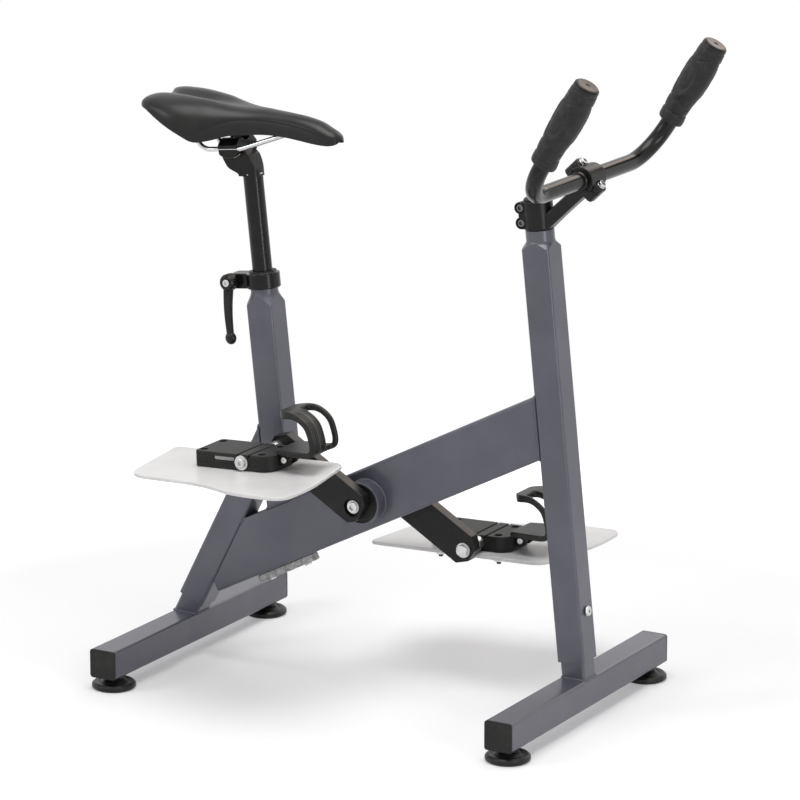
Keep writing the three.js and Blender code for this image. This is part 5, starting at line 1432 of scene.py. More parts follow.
@dataclass
class Pedal(Assembly):
    """A moulded pedal on its resistance plate, with a toe clip in front."""

    side: Side
    pitch: float
    rear: float = 74.0
    front: float = 46.0
    half_width: float = 35.0
    middle: float = 120.0
    half_height: float = 11.0
    rear_corner: float = 6.0
    front_corner: float = 20.0
    bevel: float = 1.6
    grooves: tuple[float, float] = (-6.0, 11.0)
    groove_half: float = 1.6
    groove_depth: float = 4.0
    hole_radius: float = 5.4
    hole_depth: float = 9.0
    hole_places: tuple[float, float] = (-65.0, 25.0)
    hole_spread: float = 24.0
    slot: tuple[float, float] = (-44.0, -12.0)
    slot_height: float = 3.3
    slot_half: float = 3.0
    slot_depth: float = 8.0
    lug_radius: float = 8.5
    lug_half: float = 4.0
    lug_spread: float = 9.0
    lug_place: float = 52.0
    lug_height: float = 3.2
    plate_thickness: float = 5.0
    plate_length: float = 297.0
    plate_width: float = 196.0
    plate_rear: float = 161.0
    plate_inner: float = 66.0
    plate_corner: float = 60.0
    plate_shares: tuple[tuple[float, float, float], ...] = (
        (0, 0, 0.2), (0.078, 0.8, 0.5), (0.49, 0.848, 0.5), (0.695, 0.99, 0.5), (0.975, 1.01, 0.42),
        (0.985, 0.66, 0.5), (0.905, 0, 0.4))
    pin_screw: SocketScrew = SocketScrew(4.3, 2.4, 3.0, 0.7)
    plate_washer: RibbedWasher = RibbedWasher(9.0, 1.8)

    @property
    def body(self) -> str:
        """The body that the pedal rides on."""
        return f"pedal_{self.side.word}"

    @property
    def place(self) -> Matrix:
        """The pedal's frame, its own side to the left."""
        pivot = joint_place(f"pedal_{self.side.word}_spin")
        return at(pivot.x, 0, pivot.z, -self.pitch) @ sided(self.side)

    def build(self) -> None:
        """Builds the platform, the plate, its bolts and the clip."""
        self.platform()
        self.plate()
        self.plate_bolts()
        self.slot_bar()
        self.lug_pins()
        ToeClip(self.side, self.place, self.body).build()

    @property
    def holes(self) -> list[Vector]:
        """The places of the four holes in the platform, from the pedal's middle."""
        return [Vector((along, sign * self.hole_spread, 0)) for along in self.hole_places for sign in (-1, 1)]

    def platform(self) -> None:
        """The moulded body with its grooves, holes, side slot and front lugs."""
        half, top = self.half_width, self.half_height
        outline = fillet([(-self.rear, -half, self.rear_corner), (self.front, -half, self.front_corner),
                          (self.front, half, self.front_corner), (-self.rear, half, self.rear_corner)], 8)
        block = Solid.prism(outline, -top, top).eased(self.bevel, 4, 50)
        profile = arc(self.lug_radius, -90, 90, 10, self.lug_place, self.lug_height)
        profile += [(self.front - 6, self.lug_height + reach) for reach in (self.lug_radius, -self.lug_radius)]
        lugs = [Solid.prism(profile, spread - self.lug_half, spread + self.lug_half, Axis.Y)
                .eased(0.8, 2, 60, lambda middle: middle.x > self.front - 5)
                for spread in (-self.lug_spread, self.lug_spread)]
        tools = []
        for place in self.grooves:
            low, high = place - self.groove_half, place + self.groove_half
            tools.append(Solid.block((low, -2 * half, top - self.groove_depth), (high, 2 * half, top + 1)))
            flare = [(low, top - 0.7), (high, top - 0.7), (high + 0.9, top + 0.2), (low - 0.9, top + 0.2)]
            tools.append(Solid.prism(flare, -2 * half, 2 * half, Axis.Y))
        for hole in self.holes:
            bore = Solid.turned([(0, top - self.hole_depth), (self.hole_radius, top - self.hole_depth),
                                 (self.hole_radius, top - 0.6), (self.hole_radius + 0.9, top + 0.3),
                                 (0, top + 0.3)], sides=40)
            tools.append(bore.moved(*hole))
        tools.append(self.in_slot(0, 1.5, -self.slot_depth, 1))
        tools.append(Solid.block((-self.rear - 2, half - 0.45, -self.slot_height - 0.35),
                                 (self.front - self.front_corner, half + 1, -self.slot_height + 0.35)))
        tools.append(Solid.bar(6.3, -2 * half, 2 * half, Axis.Y, edge=0, sides=40))
        shaped = block.joined(*lugs).cut(*tools).placed(self.place @ at(y=self.middle))
        shaped.piece(f"{self.body}_platform", PLASTIC, self.body, [f"pedal_body_{self.side.word}"])

    def in_slot(self, inset: float, corner: float, low: float, high: float) -> Solid:
        """A bar that lies in the slot in the platform's side.

        Args:
            inset: from the slot's long edges, and 1.6 times as far from its ends.
            corner: radius of the bar's corners.
            low: where it begins, from the platform's side.
            high: where it ends.

        Returns:
            The bar, in the platform's frame.
        """
        start, end = self.slot
        outline = rectangle((end - start) / 2 - inset * 1.6, self.slot_half - inset, corner, 4)
        return Solid.prism(outline, low, high, Axis.Y).moved((start + end) / 2, self.half_width, self.slot_height)

    def slot_bar(self) -> None:
        """The pale bar that stops in the side slot: a painted highlight, standing in for the light caught in the
        recess.
        """
        bar = self.in_slot(0.5, 1.2, -self.slot_depth + 1, -1.2).eased(0.4, 2, 50)
        bar.placed(self.place @ at(y=self.middle)).piece(f"{self.body}_slot_bar", HIGHLIGHT_GREY, self.body)

    def lug_pins(self) -> None:
        """The bright pin through the lugs and the screws at its ends."""
        reach = self.lug_spread + self.lug_half
        heads = [self.pin_screw.solid().placed(at(y=side.value * reach) @ sided(side) @ Axis.Y.turn()) for side in Side]
        pin = Solid.bar(3.0, -reach - 1, reach + 1, Axis.Y, 0.4, 32).beside(*heads)
        pin.placed(self.place @ at(self.lug_place + 1, self.middle, self.lug_height))
        pin.piece(f"{self.body}_lug_pin", STEEL, self.body)

    def plate(self) -> None:
        """The milky plate under the pedal."""
        corners = [(along * self.plate_length - self.plate_rear, self.plate_inner + out * self.plate_width,
                    share * self.plate_corner) for along, out, share in self.plate_shares]
        top = -self.half_height - GAP
        sheet = Solid.prism(softened(corners), top - self.plate_thickness, top).eased(1.3, 4, 50)
        sheet.placed(self.place).piece(f"{self.body}_sheet", SHEET, self.body, [f"resistance_plate_{self.side.word}"])

    def plate_bolts(self) -> None:
        """Washers, nuts and bolt ends under the plate, set out by one rule."""
        low = -self.half_height - GAP - self.plate_thickness
        washer = self.plate_washer.solid().moved(z=low - self.plate_washer.thickness)
        nut = Solid.nut(13, 0, 7.4).placed(at(z=low - self.plate_washer.thickness, turn=180))
        end = Solid.bar(3.2, low - 13.0, low - 6.0, edge=0.8, sides=24)
        points = [hole + Vector((0, self.middle, 0)) for hole in self.holes]
        for word, finish, shape in (("bolts", STEEL, washer.beside(nut)), ("bolt_ends", BLACK, end)):
            repeat(shape, points, f"{self.body}_plate_{word}", finish, self.body, self.place)


@dataclass
class ToeClip:
    """A rubbery strap bent up and back over the toes, with a window beside its broad band."""

    side: Side
    place: Matrix
    body: str
    rear: float = 46.3
    front: float = 106.0
    base: float = 12.0
    thickness: float = 8.0
    top: float = 70.0
    tip: float = 50.0
    inner: float = 85.0
    width: float = 65.0
    stations: int = 30
    window: tuple[float, float] = (0.35, 0.86)
    window_across: tuple[float, float] = (0.1, 0.5)
    path_shares: tuple[tuple[float, float], ...] = (
        (0, 0), (0.5, 0), (0.9, 0.01), (1, 0.16), (0.97, 0.45), (0.84, 0.8), (0.5, 1.03), (0, 1))
    across: tuple[float, ...] = (
        0.0, 0.035, 0.1, 0.23, 0.37, 0.5, 0.54, 0.575, 0.59, 0.735, 0.75, 0.785, 0.8, 0.815, 0.845, 0.86, 0.875, 0.905,
        0.92, 0.935, 0.97, 1.0)
    ribs: tuple[float, ...] = (0.59, 0.735, 0.8, 0.86, 0.92)
    rib_depth: float = 0.8

    def middle_line(self) -> list[Vector]:
        """Points of the strap's middle line in X and Z, evenly spaced."""
        low = self.base + self.thickness / 2
        height = self.top - self.base - self.thickness
        corners = []
        for index, (along, up) in enumerate(self.path_shares):
            start = self.rear if index < len(self.path_shares) / 2 else self.tip
            corners.append(Vector((start + along * (self.front - start), 0, low + up * height)))
        return even_points(smooth_line(corners, 12), self.stations)

    def half_outline(self, share: float) -> tuple[float, float]:
        """How far the strap reaches across, inner and outer edge, at a share of its length."""
        if share < 0.2:
            return 0.06 * (1 - share / 0.2), 1.0 - 0.1 * (1 - share / 0.2)
        fade = max(0.0, (share - 0.7) / 0.3)
        drawn = 0.07 * fade ** 1.5 + 0.19 * (1 - math.sqrt(max(0.0, 1 - max(0.0, (share - 0.84) / 0.16) ** 2)))
        return drawn, 1.0 - drawn

    def build(self) -> None:
        """Builds the strap from a net with a window, rounded by subdivision."""
        line = self.middle_line()
        last = len(line) - 1
        points: list[Vector] = []
        for layer in (1, -1):
            for index, middle in enumerate(line):
                along = (line[min(index + 1, last)] - line[max(index - 1, 0)]).normalized()
                normal = Vector((along.z, 0, -along.x))
                share = index / last
                low, high = self.half_outline(share)
                for across in self.across:
                    bump = self.rib_depth if layer == 1 and across in self.ribs and 0.36 < share < 0.82 else 0
                    swell = 1 + 0.45 * max(0.0, (share - 0.75) / 0.25)
                    reach = layer * (self.thickness / 2 * swell) - bump
                    y = self.inner + self.width * (low + (high - low) * across)
                    points.append(middle + normal * reach + Vector((0, y, 0)))
        columns = len(self.across)
        solid = Solid.of(points, net_faces(last, columns, self.window_cells(last, columns)))
        solid = solid.subdivided(2).placed(self.place)
        solid.piece(f"{self.body}_strap", STRAP, self.body, [f"toe_clip_{self.side.word}"], smooth=180)

    def window_cells(self, rows: int, columns: int) -> set[tuple[int, int]]:
        """The cells of the net that the window leaves out."""
        start, end = self.window
        inner, outer = self.window_across
        return {(row, column) for row in range(rows) for column in range(columns - 1)
                if start <= row / rows < end and inner <= self.across[column] < outer}


@dataclass
class SeatClamp(Assembly):
    """The collar on the seat tube's neck with its hanging lever."""

    radius: float = 23.0
    bore: float = 19.05
    height: float = 21.0
    edge: float = 1.6
    setback: float = 43.0
    ear_half: float = 12.0
    slot_half: float = 1.5
    stud_radius: float = 4.0
    head_radius: float = 8.0
    hub_radius: float = 11.0
    hub_end: float = 28.0
    lever_reach: float = 77.0
    lever_width: float = 15.0
    tip_width: float = 9.0
    thickness: float = 9.0
    ball: float = 8.0
    ribs: int = 26
    screw: SocketScrew = SocketScrew(5.0, 3.2, 4.0, 0.6)

    def build(self) -> None:
        """Builds the collar, the stud and the lever."""
        self.collar()
        place = joint_place("lever_turn")
        pivot = at(place.x, 0, place.z, POST_LEAN)
        inner = self.ear_half + GAP
        dome = fillet([(0, inner, 0), (self.head_radius, inner, 0.3), (self.head_radius, inner + 2.6, 1.2),
                       (self.head_radius * 0.6, inner + 4.8, 1.5), (0, inner + 4.8, 0)], 4)
        stud = Solid.turned(dome, Axis.Y, 64).beside(Solid.bar(self.stud_radius, -18, inner + 1, Axis.Y, sides=40))
        stud.placed(pivot).piece("lever_stud", STEEL, "lever", ["clamp_stud"])
        self.lever(pivot)
        place = pivot @ at(y=-self.hub_end + 2.4) @ BACKED
        self.screw.driven(place, "lever_cap_screw", "lever", "lever_screw")

    def collar(self) -> None:
        """The split collar and its two ears."""
        half = self.height / 2
        ring = Solid.bar(self.radius, -half, half, edge=self.edge, sides=96)
        back = arc(half, 90, 270, 6, -self.setback)
        ears = Solid.prism([*back, (0, -half), (0, half)], -self.ear_half, self.ear_half, Axis.Y).eased(1.4, 3, 50)
        bore = Solid.turned([(0, -half - 1), (self.bore + 1, -half - 1), (self.bore, -half + 0.6),
                             (self.bore, half - 0.6), (self.bore + 1.2, half + 0.6), (0, half + 0.6)], sides=96)
        slot = Solid.block((-3 * self.setback, -self.slot_half, -self.height),
                           (-self.bore + 6, self.slot_half, self.height))
        hole = Solid.bar(self.stud_radius + GAP, -3 * self.ear_half, 3 * self.ear_half, Axis.Y, edge=0)
        collar = ring.joined(ears).cut(bore, slot, hole.moved(x=-self.setback)).placed(SEAT_SLIDE @ at(z=-half))
        collar.piece("seat_collar", GLOSS, "frame", ["seat_clamp_collar"])

    def lever(self, pivot: Matrix) -> None:
        """The ribbed hub with the tapered handle that hangs from it and ends in a ball."""
        inner = -self.ear_half - GAP
        profile = fillet([(0, -self.hub_end, 0), (self.hub_radius * 0.82, -self.hub_end, 0.8),
                          (self.hub_radius, -self.hub_end + 2.6, 1.2), (self.hub_radius, inner, 0.8), (0, inner, 0)], 4)
        hub = Solid.turned(profile, Axis.Y, 96)
        middle = (inner - self.hub_end) / 2
        rings = []
        for step in range(25):
            share = step / 24
            half_x = (self.lever_width + (self.tip_width - self.lever_width) * share ** 0.8) / 2
            half_y = self.thickness / 2 * (1 - 0.12 * share)
            bow = 2.4 * math.sin(math.pi * share) + 5.6 * share
            rings.append([(x - bow, middle + y, -self.lever_reach * share)
                          for x, y in rectangle(half_x, half_y, min(half_x, half_y) * 0.72, 6)])
        handle = Solid.lofted(rings)
        ball = Solid.turned(arc(self.ball, -90, 90, 6), sides=64)
        ball.placed(Matrix.Diagonal((1, 0.82, 1.1, 1))).moved(-5.6, middle, -self.lever_reach)
        seat = Solid.bar(self.screw.radius + 0.4, -self.hub_end - 1, -self.hub_end + 2.6, Axis.Y, edge=0, sides=40)
        shape = hub.joined(handle, ball).cut(seat).placed(pivot)
        shape.piece("seat_lever", GLOSS_PLASTIC, "lever", ["clamp_lever"])
        points = [Vector((x, 0, z)) for x, z in circle(self.hub_radius, self.ribs)]
        rib = Solid.bar(0.75, -6.2, 6.2, Axis.Y, edge=0.5, sides=12).moved(y=middle + 0.9)
        repeat(rib, points, "lever_hub_ribs", GLOSS_PLASTIC, "lever", pivot)


@dataclass
class SeatPost(Assembly):
    """The seat post, its laid-back head and the clamp that holds the saddle's rails."""

    radius: float = 13.6
    low: float = -190.0
    joint: float = 135.0
    half_width: float = 14.0
    bevel: float = 1.6
    layback: float = 20.0
    seat_height: float = 180.6
    seat_radius: float = 21.6
    cradle_radius: float = 21.3
    rise: float = 8.6
    half_length: float = 15.0
    half_span: float = 26.0
    rail_half: float = 22.0
    rail_radius: float = 3.5
    clamp_top: float = 14.0
    head_height: float = 33.7
    blank_end: float = 80.0

    def build(self) -> None:
        """Builds the post, the cradle, the upper clamp and their bolt."""
        self.post()
        self.cradle()
        self.upper_clamp()

    def post(self) -> None:
        """The tube, the bright line at its joint and the forged head."""
        tube = Solid.bar(self.radius, self.low, self.joint + 2, edge=0.6, sides=96)
        tube.placed(SEAT_SLIDE).piece("seat_post_tube", GLOSS, "seat_mast")
        line = Solid.ring(self.radius + 0.45, self.radius - 1, self.joint - 0.6, self.joint + 0.9, edge=0.35, sides=96)
        line.placed(SEAT_SLIDE).piece("seat_post_line", STEEL, "seat_mast")
        tall = self.head_height
        top = self.joint + tall
        profile = fillet([(self.radius, self.joint - 3.5, 0), (self.radius, self.joint + 0.12 * tall, 6),
                          (5.0, self.joint + 0.77 * tall, 5), (-2, top, 0.6), (-38, top, 0.6),
                          (-36.6, self.joint + 0.68 * tall, 5), (-30.1, self.joint + 0.3 * tall, 16),
                          (-13.8, self.joint + 1.6, 6), (-self.radius, self.joint - 1.5, 0)], 5)
        head = Solid.prism(profile, -self.half_width, self.half_width, Axis.Y).eased(self.bevel, 3, 50)
        wide = self.half_width + 1
        plan = fillet([(14.2, -wide, 12), (14.2, wide, 12), (-self.blank_end, wide, 0),
                       (-self.blank_end, -wide, 0)], 10)
        head = head.combined("INTERSECT", [Solid.prism(plan, 125, 190)])
        seat = Solid.bar(self.seat_radius, -40, 40, Axis.Y, edge=0, sides=128).moved(-self.layback, 0, self.seat_height)
        slot = Solid.prism(rectangle(8.0, 4.3, 4, 6), 150, 190).moved(x=-self.layback)
        head = head.cut(seat, slot).placed(SEAT_SLIDE)
        head.piece("seat_post_head", BLACK, "seat_mast", ["seat_post"])

    def gripped(self, jaw: Solid) -> Solid:
        """A jaw of the clamp with the grooves of the rails."""
        bars = [Solid.bar(self.rail_radius + 0.25, -40, 40, Axis.X, edge=0, sides=40).moved(y=sign * self.rail_half)
                for sign in (-1, 1)]
        return jaw.cut(*bars).placed(CLAMP)

    def cradle(self) -> None:
        """The rocking cradle below the rails."""
        seat = arc(self.cradle_radius, -134, -46, 4, 0, self.rise)
        outline = [(x, z) for x, z in seat if abs(x) <= self.half_length]
        outline += [(self.half_length, -GAP), (-self.half_length, -GAP)]
        block = Solid.prism(outline, -self.half_span, self.half_span, Axis.Y).eased(1.2, 3, 40)
        self.gripped(block).piece("saddle_cradle_block", BLACK, "saddle_clamp", ["saddle_cradle"])
        edge = arc(self.cradle_radius * 0.999, -130, -50, 4, 0, self.rise)
        for index, sign in enumerate((-1, 1)):
            rows = [Vector((x, sign * (self.half_width + 2.6), z + 0.1)) for x, z in edge if abs(x) < 14.4]
            line = Solid.swept(rows, rectangle(0.5, 0.5, 0.4, 3), ACROSS)
            line.placed(CLAMP).piece(f"cradle_line_{index}", STEEL, "saddle_clamp")

    def upper_clamp(self) -> None:
        """The two-lobed clamp over the rails and its bolt."""
        lobe = [(self.half_span, GAP, 0.5), (self.half_span, 5.5, 3), (18, 13.2, 5), (9.5, self.clamp_top, 3),
                (4, 9.6, 3)]
        side_view = fillet([*lobe, *[(-x, z, radius) for x, z, radius in reversed(lobe)]], 5)
        plate = Solid.prism(side_view, -self.half_length, self.half_length, Axis.X).eased(1.6, 3, 50)
        self.gripped(plate).piece("saddle_clamp_plate", BLACK, "saddle_clamp", ["saddle_upper_clamp"])
        seat = self.rise - 31.6 - GAP
        head = Solid.bar(6, seat - 8, seat, edge=0.6, sides=48).cut(Solid.prism(hexagon(6), seat - 9, seat - 4))
        nut = Solid.nut(13, 9.8, 12.8)
        bolt = head.beside(Solid.bar(4, seat - 2, 13.2, edge=0.4, sides=40), nut)
        bolt.placed(CLAMP).piece("saddle_clamp_screw", STEEL, "saddle_clamp", ["saddle_clamp_bolt"])


@dataclass
class Saddle(Assembly):
    """The padded cover, the shell under it and the steel rails."""

    length: float = 289.0
    tail: float = 126.0
    half_width: float = 68.0
    height: float = 60.0
    low: float = 12.0
    notch: float = 22.0
    notch_half: float = 22.0
    valley_half: float = 17.0
    valley_share: float = 0.38
    valley_end: float = 0.6
    roundness: float = 0.62
    steps: int = 96
    stations: tuple[tuple[float, float, float, float], ...] = (
        (0, 0.57, 0.8, 0.7), (0.02, 0.75, 0.91, 0.68), (0.066, 0.88, 0.965, 0.62), (0.13, 0.96, 0.985, 0.46),
        (0.19, 1, 0.985, 0.31), (0.25, 0.98, 0.97, 0.16), (0.32, 0.9, 0.945, 0), (0.39, 0.77, 0.87, 0.04),
        (0.46, 0.62, 0.8, 0.14), (0.54, 0.48, 0.75, 0.18), (0.63, 0.38, 0.71, 0.21), (0.72, 0.33, 0.675, 0.2),
        (0.81, 0.305, 0.63, 0.15), (0.89, 0.285, 0.55, 0.1), (0.945, 0.25, 0.43, 0.08), (0.972, 0.215, 0.37, 0.09),
        (0.99, 0.15, 0.3, 0.12), (1, 0.03, 0.22, 0.185))
    crease: tuple[tuple[float, float], ...] = (
        (0, 3), (0.3, 3), (0.36, 7), (0.43, 15), (0.54, 25), (0.69, 27), (0.8, 24), (0.9, 19), (1, 16))
    crease_depth: float = 0.5
    puff: float = 0.9
    inner_shares: tuple[float, float] = (0.9, 0.74)
    rail_radius: float = 3.5
    rail_line: tuple[tuple[float, float, float, float], ...] = (
        (-72, 28, 50, 0), (-40, 22, 0, 10), (20, 22, 0, 5), (96, 13, 19, 8), (122, 9, 19, 8))

    def build(self) -> None:
        """Builds the cover, the shell and the rails."""
        self.cover()
        dress(PLASTIC, "saddle_shell")
        self.rails()

    def arch(self, along: float, width: float, height: float, angles: Sequence[float],
             inset: float = 0) -> list[Vector]:
        """Points over one section of the saddle.

        Args:
            along: share of the length from the tail.
            width: share of the full half width.
            height: share of the full crown.
            angles: round the arch from the left edge, in degrees.
            inset: how far the skin is drawn in, in millimetres.

        Returns:
            The points.
        """
        wide, crown, edge = interpolated(self.stations, along)
        base = self.low + edge * self.height
        rise = (crown - edge) * self.height * height - inset
        half = wide * self.half_width * width - inset
        depth = self.valley_share * max(0.0, 1 - along / self.valley_end)
        points = []
        for angle in angles:
            turn = math.radians(angle)
            place = wide * self.half_width * math.cos(turn)
            valley = depth * math.exp(-((place / self.valley_half) ** 2))
            near_tail = math.exp(-along * self.length / self.notch)
            notch = self.notch * math.exp(-((place / self.notch_half) ** 2)) * near_tail
            z = base + rise * (1 - valley) * abs(math.sin(turn)) ** self.roundness
            points.append(Vector((along * self.length - self.tail + notch, half * math.cos(turn), z)))
        return points

    def angles(self, along: float) -> list[float]:
        """Angles round the arch, crowded about the crease on each side."""
        crease = interpolated(self.crease, along)[0]
        skirt = [crease * share for share in (0, 0.04, 0.14, 0.32, 0.55, 0.8)]
        fold = [crease - 0.8, crease, crease + 0.8]
        top = [crease + (90 - crease) * (step / 22) for step in range(1, 22)]
        half = [*skirt, *fold, *[angle for angle in top if angle > crease + 1.6]]
        while len(half) < 31:
            half.append((half[-1] + 90) / 2)
        return [*half[:31], 90.0, *[180 - angle for angle in reversed(half[:31])]]

    def cover(self) -> None:
        """The padded leather cover, its crease pressed in and its skirt dull."""
        rings: list[list[Vector]] = []
        dull: list[float] = []
        for step in range(self.steps + 1):
            along = 0.5 - 0.5 * math.cos(math.pi * step / self.steps)
            angles = self.angles(along)
            crease = interpolated(self.crease, along)[0]
            outer = self.arch(along, 1, 1, angles)
            centre = sum(outer, Vector()) / len(outer)
            shaped = []
            for point, angle in zip(outer, angles):
                side = min(angle, 180 - angle)
                away = (point - Vector((point.x, 0, centre.z - 8))).normalized()
                shown = min(1.0, max(0.0, crease - 3) / 3, (1 - along) * 5)
                press = self.crease_depth * math.exp(-(((side - crease) / 2.0) ** 2))
                lift = self.puff * (1 - math.exp(-max(0.0, side - crease) / 9)) if side > crease else -0.3
                shaped.append(point + away * (lift - press) * shown)
                dull.append(shown * max(0.0, min(1.0, (crease - side) / 2.5 + 0.5)))
            inner = self.arch(along, *self.inner_shares, angles)
            inner.reverse()
            rings.append([*shaped, *inner])
            dull += [1.0] * len(inner)
        solid = Solid.lofted(rings, {"skirt": dull}).placed(SADDLE)
        cover = solid.piece("saddle_pad", LEATHER, "saddle", ["saddle_cover"], smooth=50)

    def rails(self) -> None:
        """The bent steel rails."""
        corners = [*self.rail_line, *[(x, -y, z, setback) for x, y, z, setback in reversed(self.rail_line)]]
        line = bent_line([Vector(row[:3]) for row in corners], [row[3] for row in corners], 8)
        wire = Solid.swept(line, circle(self.rail_radius, 24), UP)
        wire.placed(CLAMP).piece("saddle_rail_wire", STEEL, "saddle", ["saddle_rails"])


@dataclass
class Stem(Assembly):
    """The stem on the steerer, its faceplate, bolts and cap."""

    radius: float = 20.0
    height: float = 38.0
    bore: float = 14.6
    arm_foot: tuple[float, float] = (12.0, 8.0)
    arm_head: tuple[float, float] = (72.0, 53.5)
    arm_half_width: float = 11.0
    arm_half_height: float = 9.5
    arm_flare: float = 1.2
    ear_depth: float = 15.0
    slot_half: float = 1.0
    pinch_setback: float = 19.0
    pinch_heights: tuple[float, float] = (9.5, 29.5)
    boss_radius: float = 8.0
    boss_half: float = 15.5
    web_reach: float = 23.0
    web_half: float = 13.0
    pinch_radius: float = 5.0
    bar_bore: float = 13.0
    ring_radius: float = 18.2
    ring_half: float = 20.0
    plate_gap: float = 0.6
    ear_half: float = 8.0
    face_depth: float = 9.0
    bolt_spread: float = 19.2
    cap_radius: float = 18.0
    bolt: SocketScrew = SocketScrew(5.0, 5.0, 5.0, 0.8, 5.9, 1.0)
    pinch: SocketScrew = SocketScrew(5.0, 4.6, 5.2, 0.6)

    def build(self) -> None:
        """Builds the stem and what is bolted to it."""
        self.body()
        self.faceplate()
        self.bolts()
        rows = fillet([(0, 0.3, 0), (self.cap_radius, 0.3, 0.4), (self.cap_radius, 2.4, 1.2),
                       (self.cap_radius - 2.4, 4.2, 1.5), (6, 4.2, 0.6), (5.2, 3.2, 0.5), (0, 3.2, 0)], 4)
        cap = Solid.turned(rows, sides=96).placed(STEM @ at(z=self.height))
        cap.piece("stem_top_cover", PLASTIC, "frame", ["stem_cap"])

    def arm(self) -> Solid:
        """The forged arm from the steerer clamp to the bar clamp, slimmer in the middle."""
        start = Vector((self.arm_foot[0], 0, self.arm_foot[1]))
        end = Vector((self.arm_head[0], 0, self.arm_head[1]))
        along = (end - start).normalized()
        up = Vector((-along.z, 0, along.x))
        rings = []
        for step in range(13):
            share = step / 12
            flare = 1 + (self.arm_flare - 1) * (2 * share - 1) ** 2
            wide = self.arm_half_width * flare
            tall = self.arm_half_height * (0.94 + 0.06 * (2 * share - 1) ** 2)
            middle = start.lerp(end, share)
            rings.append([middle + up * a + Vector((0, b, 0)) for a, b in rectangle(tall, wide, 4.2, 6)])
        return Solid.lofted(rings)

    def ring(self) -> Solid:
        """The round middle of the bar clamp, in the faceplate's frame."""
        return Solid.bar(self.ring_radius, -self.ring_half, self.ring_half, Axis.Y, 1.4, 96)

    def body(self) -> None:
        """The clamp, the pinch bosses, the arm and the rear half of the bar clamp."""
        clamp = Solid.bar(self.radius, 0, self.height, edge=1.8, sides=96)
        low, high = self.pinch_heights
        web = Solid.block((-self.web_reach, -self.web_half, low), (0, self.web_half, high))
        web.eased(1.0, 2, 50, lambda middle: middle.x < -5)
        local = STEM.inverted() @ FACEPLATE
        tools = [Solid.bar(self.bar_bore, -60, 60, Axis.Y, edge=0, sides=96).placed(local),
                 Solid.block((-self.plate_gap, -60, -60), (60, 60, 60)).placed(local),
                 Solid.bar(self.bore, -1, self.height - 4, edge=0, sides=64),
                 Solid.block((-60, -self.slot_half, -1), (0, self.slot_half, self.height + 1)),
                 Solid.bar(self.cap_radius + 0.4, self.height, self.height + 30, edge=0, sides=96)]
        parts = [web, self.arm()]
        for height in self.pinch_heights:
            boss = Solid.bar(self.boss_radius, -self.boss_half, self.boss_half, Axis.Y, 1.3, 64)
            root = Solid.block((-self.pinch_setback, -self.boss_half + 1.3, height - self.boss_radius),
                               (0, self.boss_half - 1.3, height + self.boss_radius))
            parts += [boss.moved(-self.pinch_setback, 0, height), root]
            seat = Solid.bar(self.pinch_radius + 0.6, -30, -self.boss_half + 5.6, Axis.Y, edge=0, sides=40)
            lip = Solid.turned([(0, 1), (self.pinch_radius + 1.7, 1), (self.pinch_radius + 0.6, -1), (0, -1)], sides=40)
            lip.placed(at(-self.pinch_setback, -self.boss_half + 0.4, height) @ BACKED)
            tools += [seat.moved(-self.pinch_setback, 0, height), lip]
        ears = [self.ear(sign, -self.ear_depth, 0) for sign in (-1, 1)]
        parts += [part.placed(local) for part in (self.ring(), *ears)]
        clamp.joined(*parts).cut(*tools).placed(STEM).piece("stem_forging", BLACK, "frame", ["stem"])

    def ear(self, sign: int, low: float, high: float) -> Solid:
        """A rounded lobe round a bolt of the bar clamp, in the faceplate's frame.

        Args:
            sign: above or below the bar.
            low: where it begins, forward of the bar.
            high: where it ends.

        Returns:
            The lobe.
        """
        far = self.bolt_spread + self.ear_half
        outline = fillet([(-self.ring_half + 6, 4, 0), (self.ring_half - 6, 4, 0), (self.ear_half + 1, far, 6.5),
                          (-self.ear_half - 1, far, 6.5)], 6)
        lobe = Solid.prism(outline, low, high, Axis.X).eased(1.6, 3, 50, lambda middle: middle.z > 10)
        return lobe.placed(Matrix.Diagonal((1, 1, sign, 1)))

    def faceplate(self) -> None:
        """The front half of the bar clamp."""
        ears = [self.ear(sign, -6, self.face_depth) for sign in (-1, 1)]
        tools = [Solid.bar(self.bar_bore, -60, 60, Axis.Y, edge=0, sides=96),
                 Solid.block((-60, -60, -60), (self.plate_gap, 60, 60))]
        for sign in (-1, 1):
            seat = Solid.bar(self.bolt.flange + 0.6, self.face_depth, 60, Axis.X, edge=0, sides=48)
            tools.append(seat.moved(z=sign * self.bolt_spread))
        shape = self.ring().joined(*ears).cut(*tools).placed(FACEPLATE)
        shape.piece("stem_front_plate", BLACK, "frame", ["stem_faceplate"])

    def bolts(self) -> None:
        """Two bright bolts in the faceplate and two in the pinch bosses."""
        for name, sign in (("lower", -1), ("upper", 1)):
            place = FACEPLATE @ at(self.face_depth + GAP, z=sign * self.bolt_spread) @ Axis.X.turn()
            self.bolt.driven(place, f"stem_front_screw_{name}", "frame", f"faceplate_bolt_{name}")
        for name, height in zip(("lower", "upper"), self.pinch_heights):
            place = STEM @ at(-self.pinch_setback, -self.boss_half + 5.4, height) @ BACKED
            self.pinch.driven(place, f"stem_pinch_screw_{name}", "frame", f"pinch_bolt_{name}", DARK_STEEL)


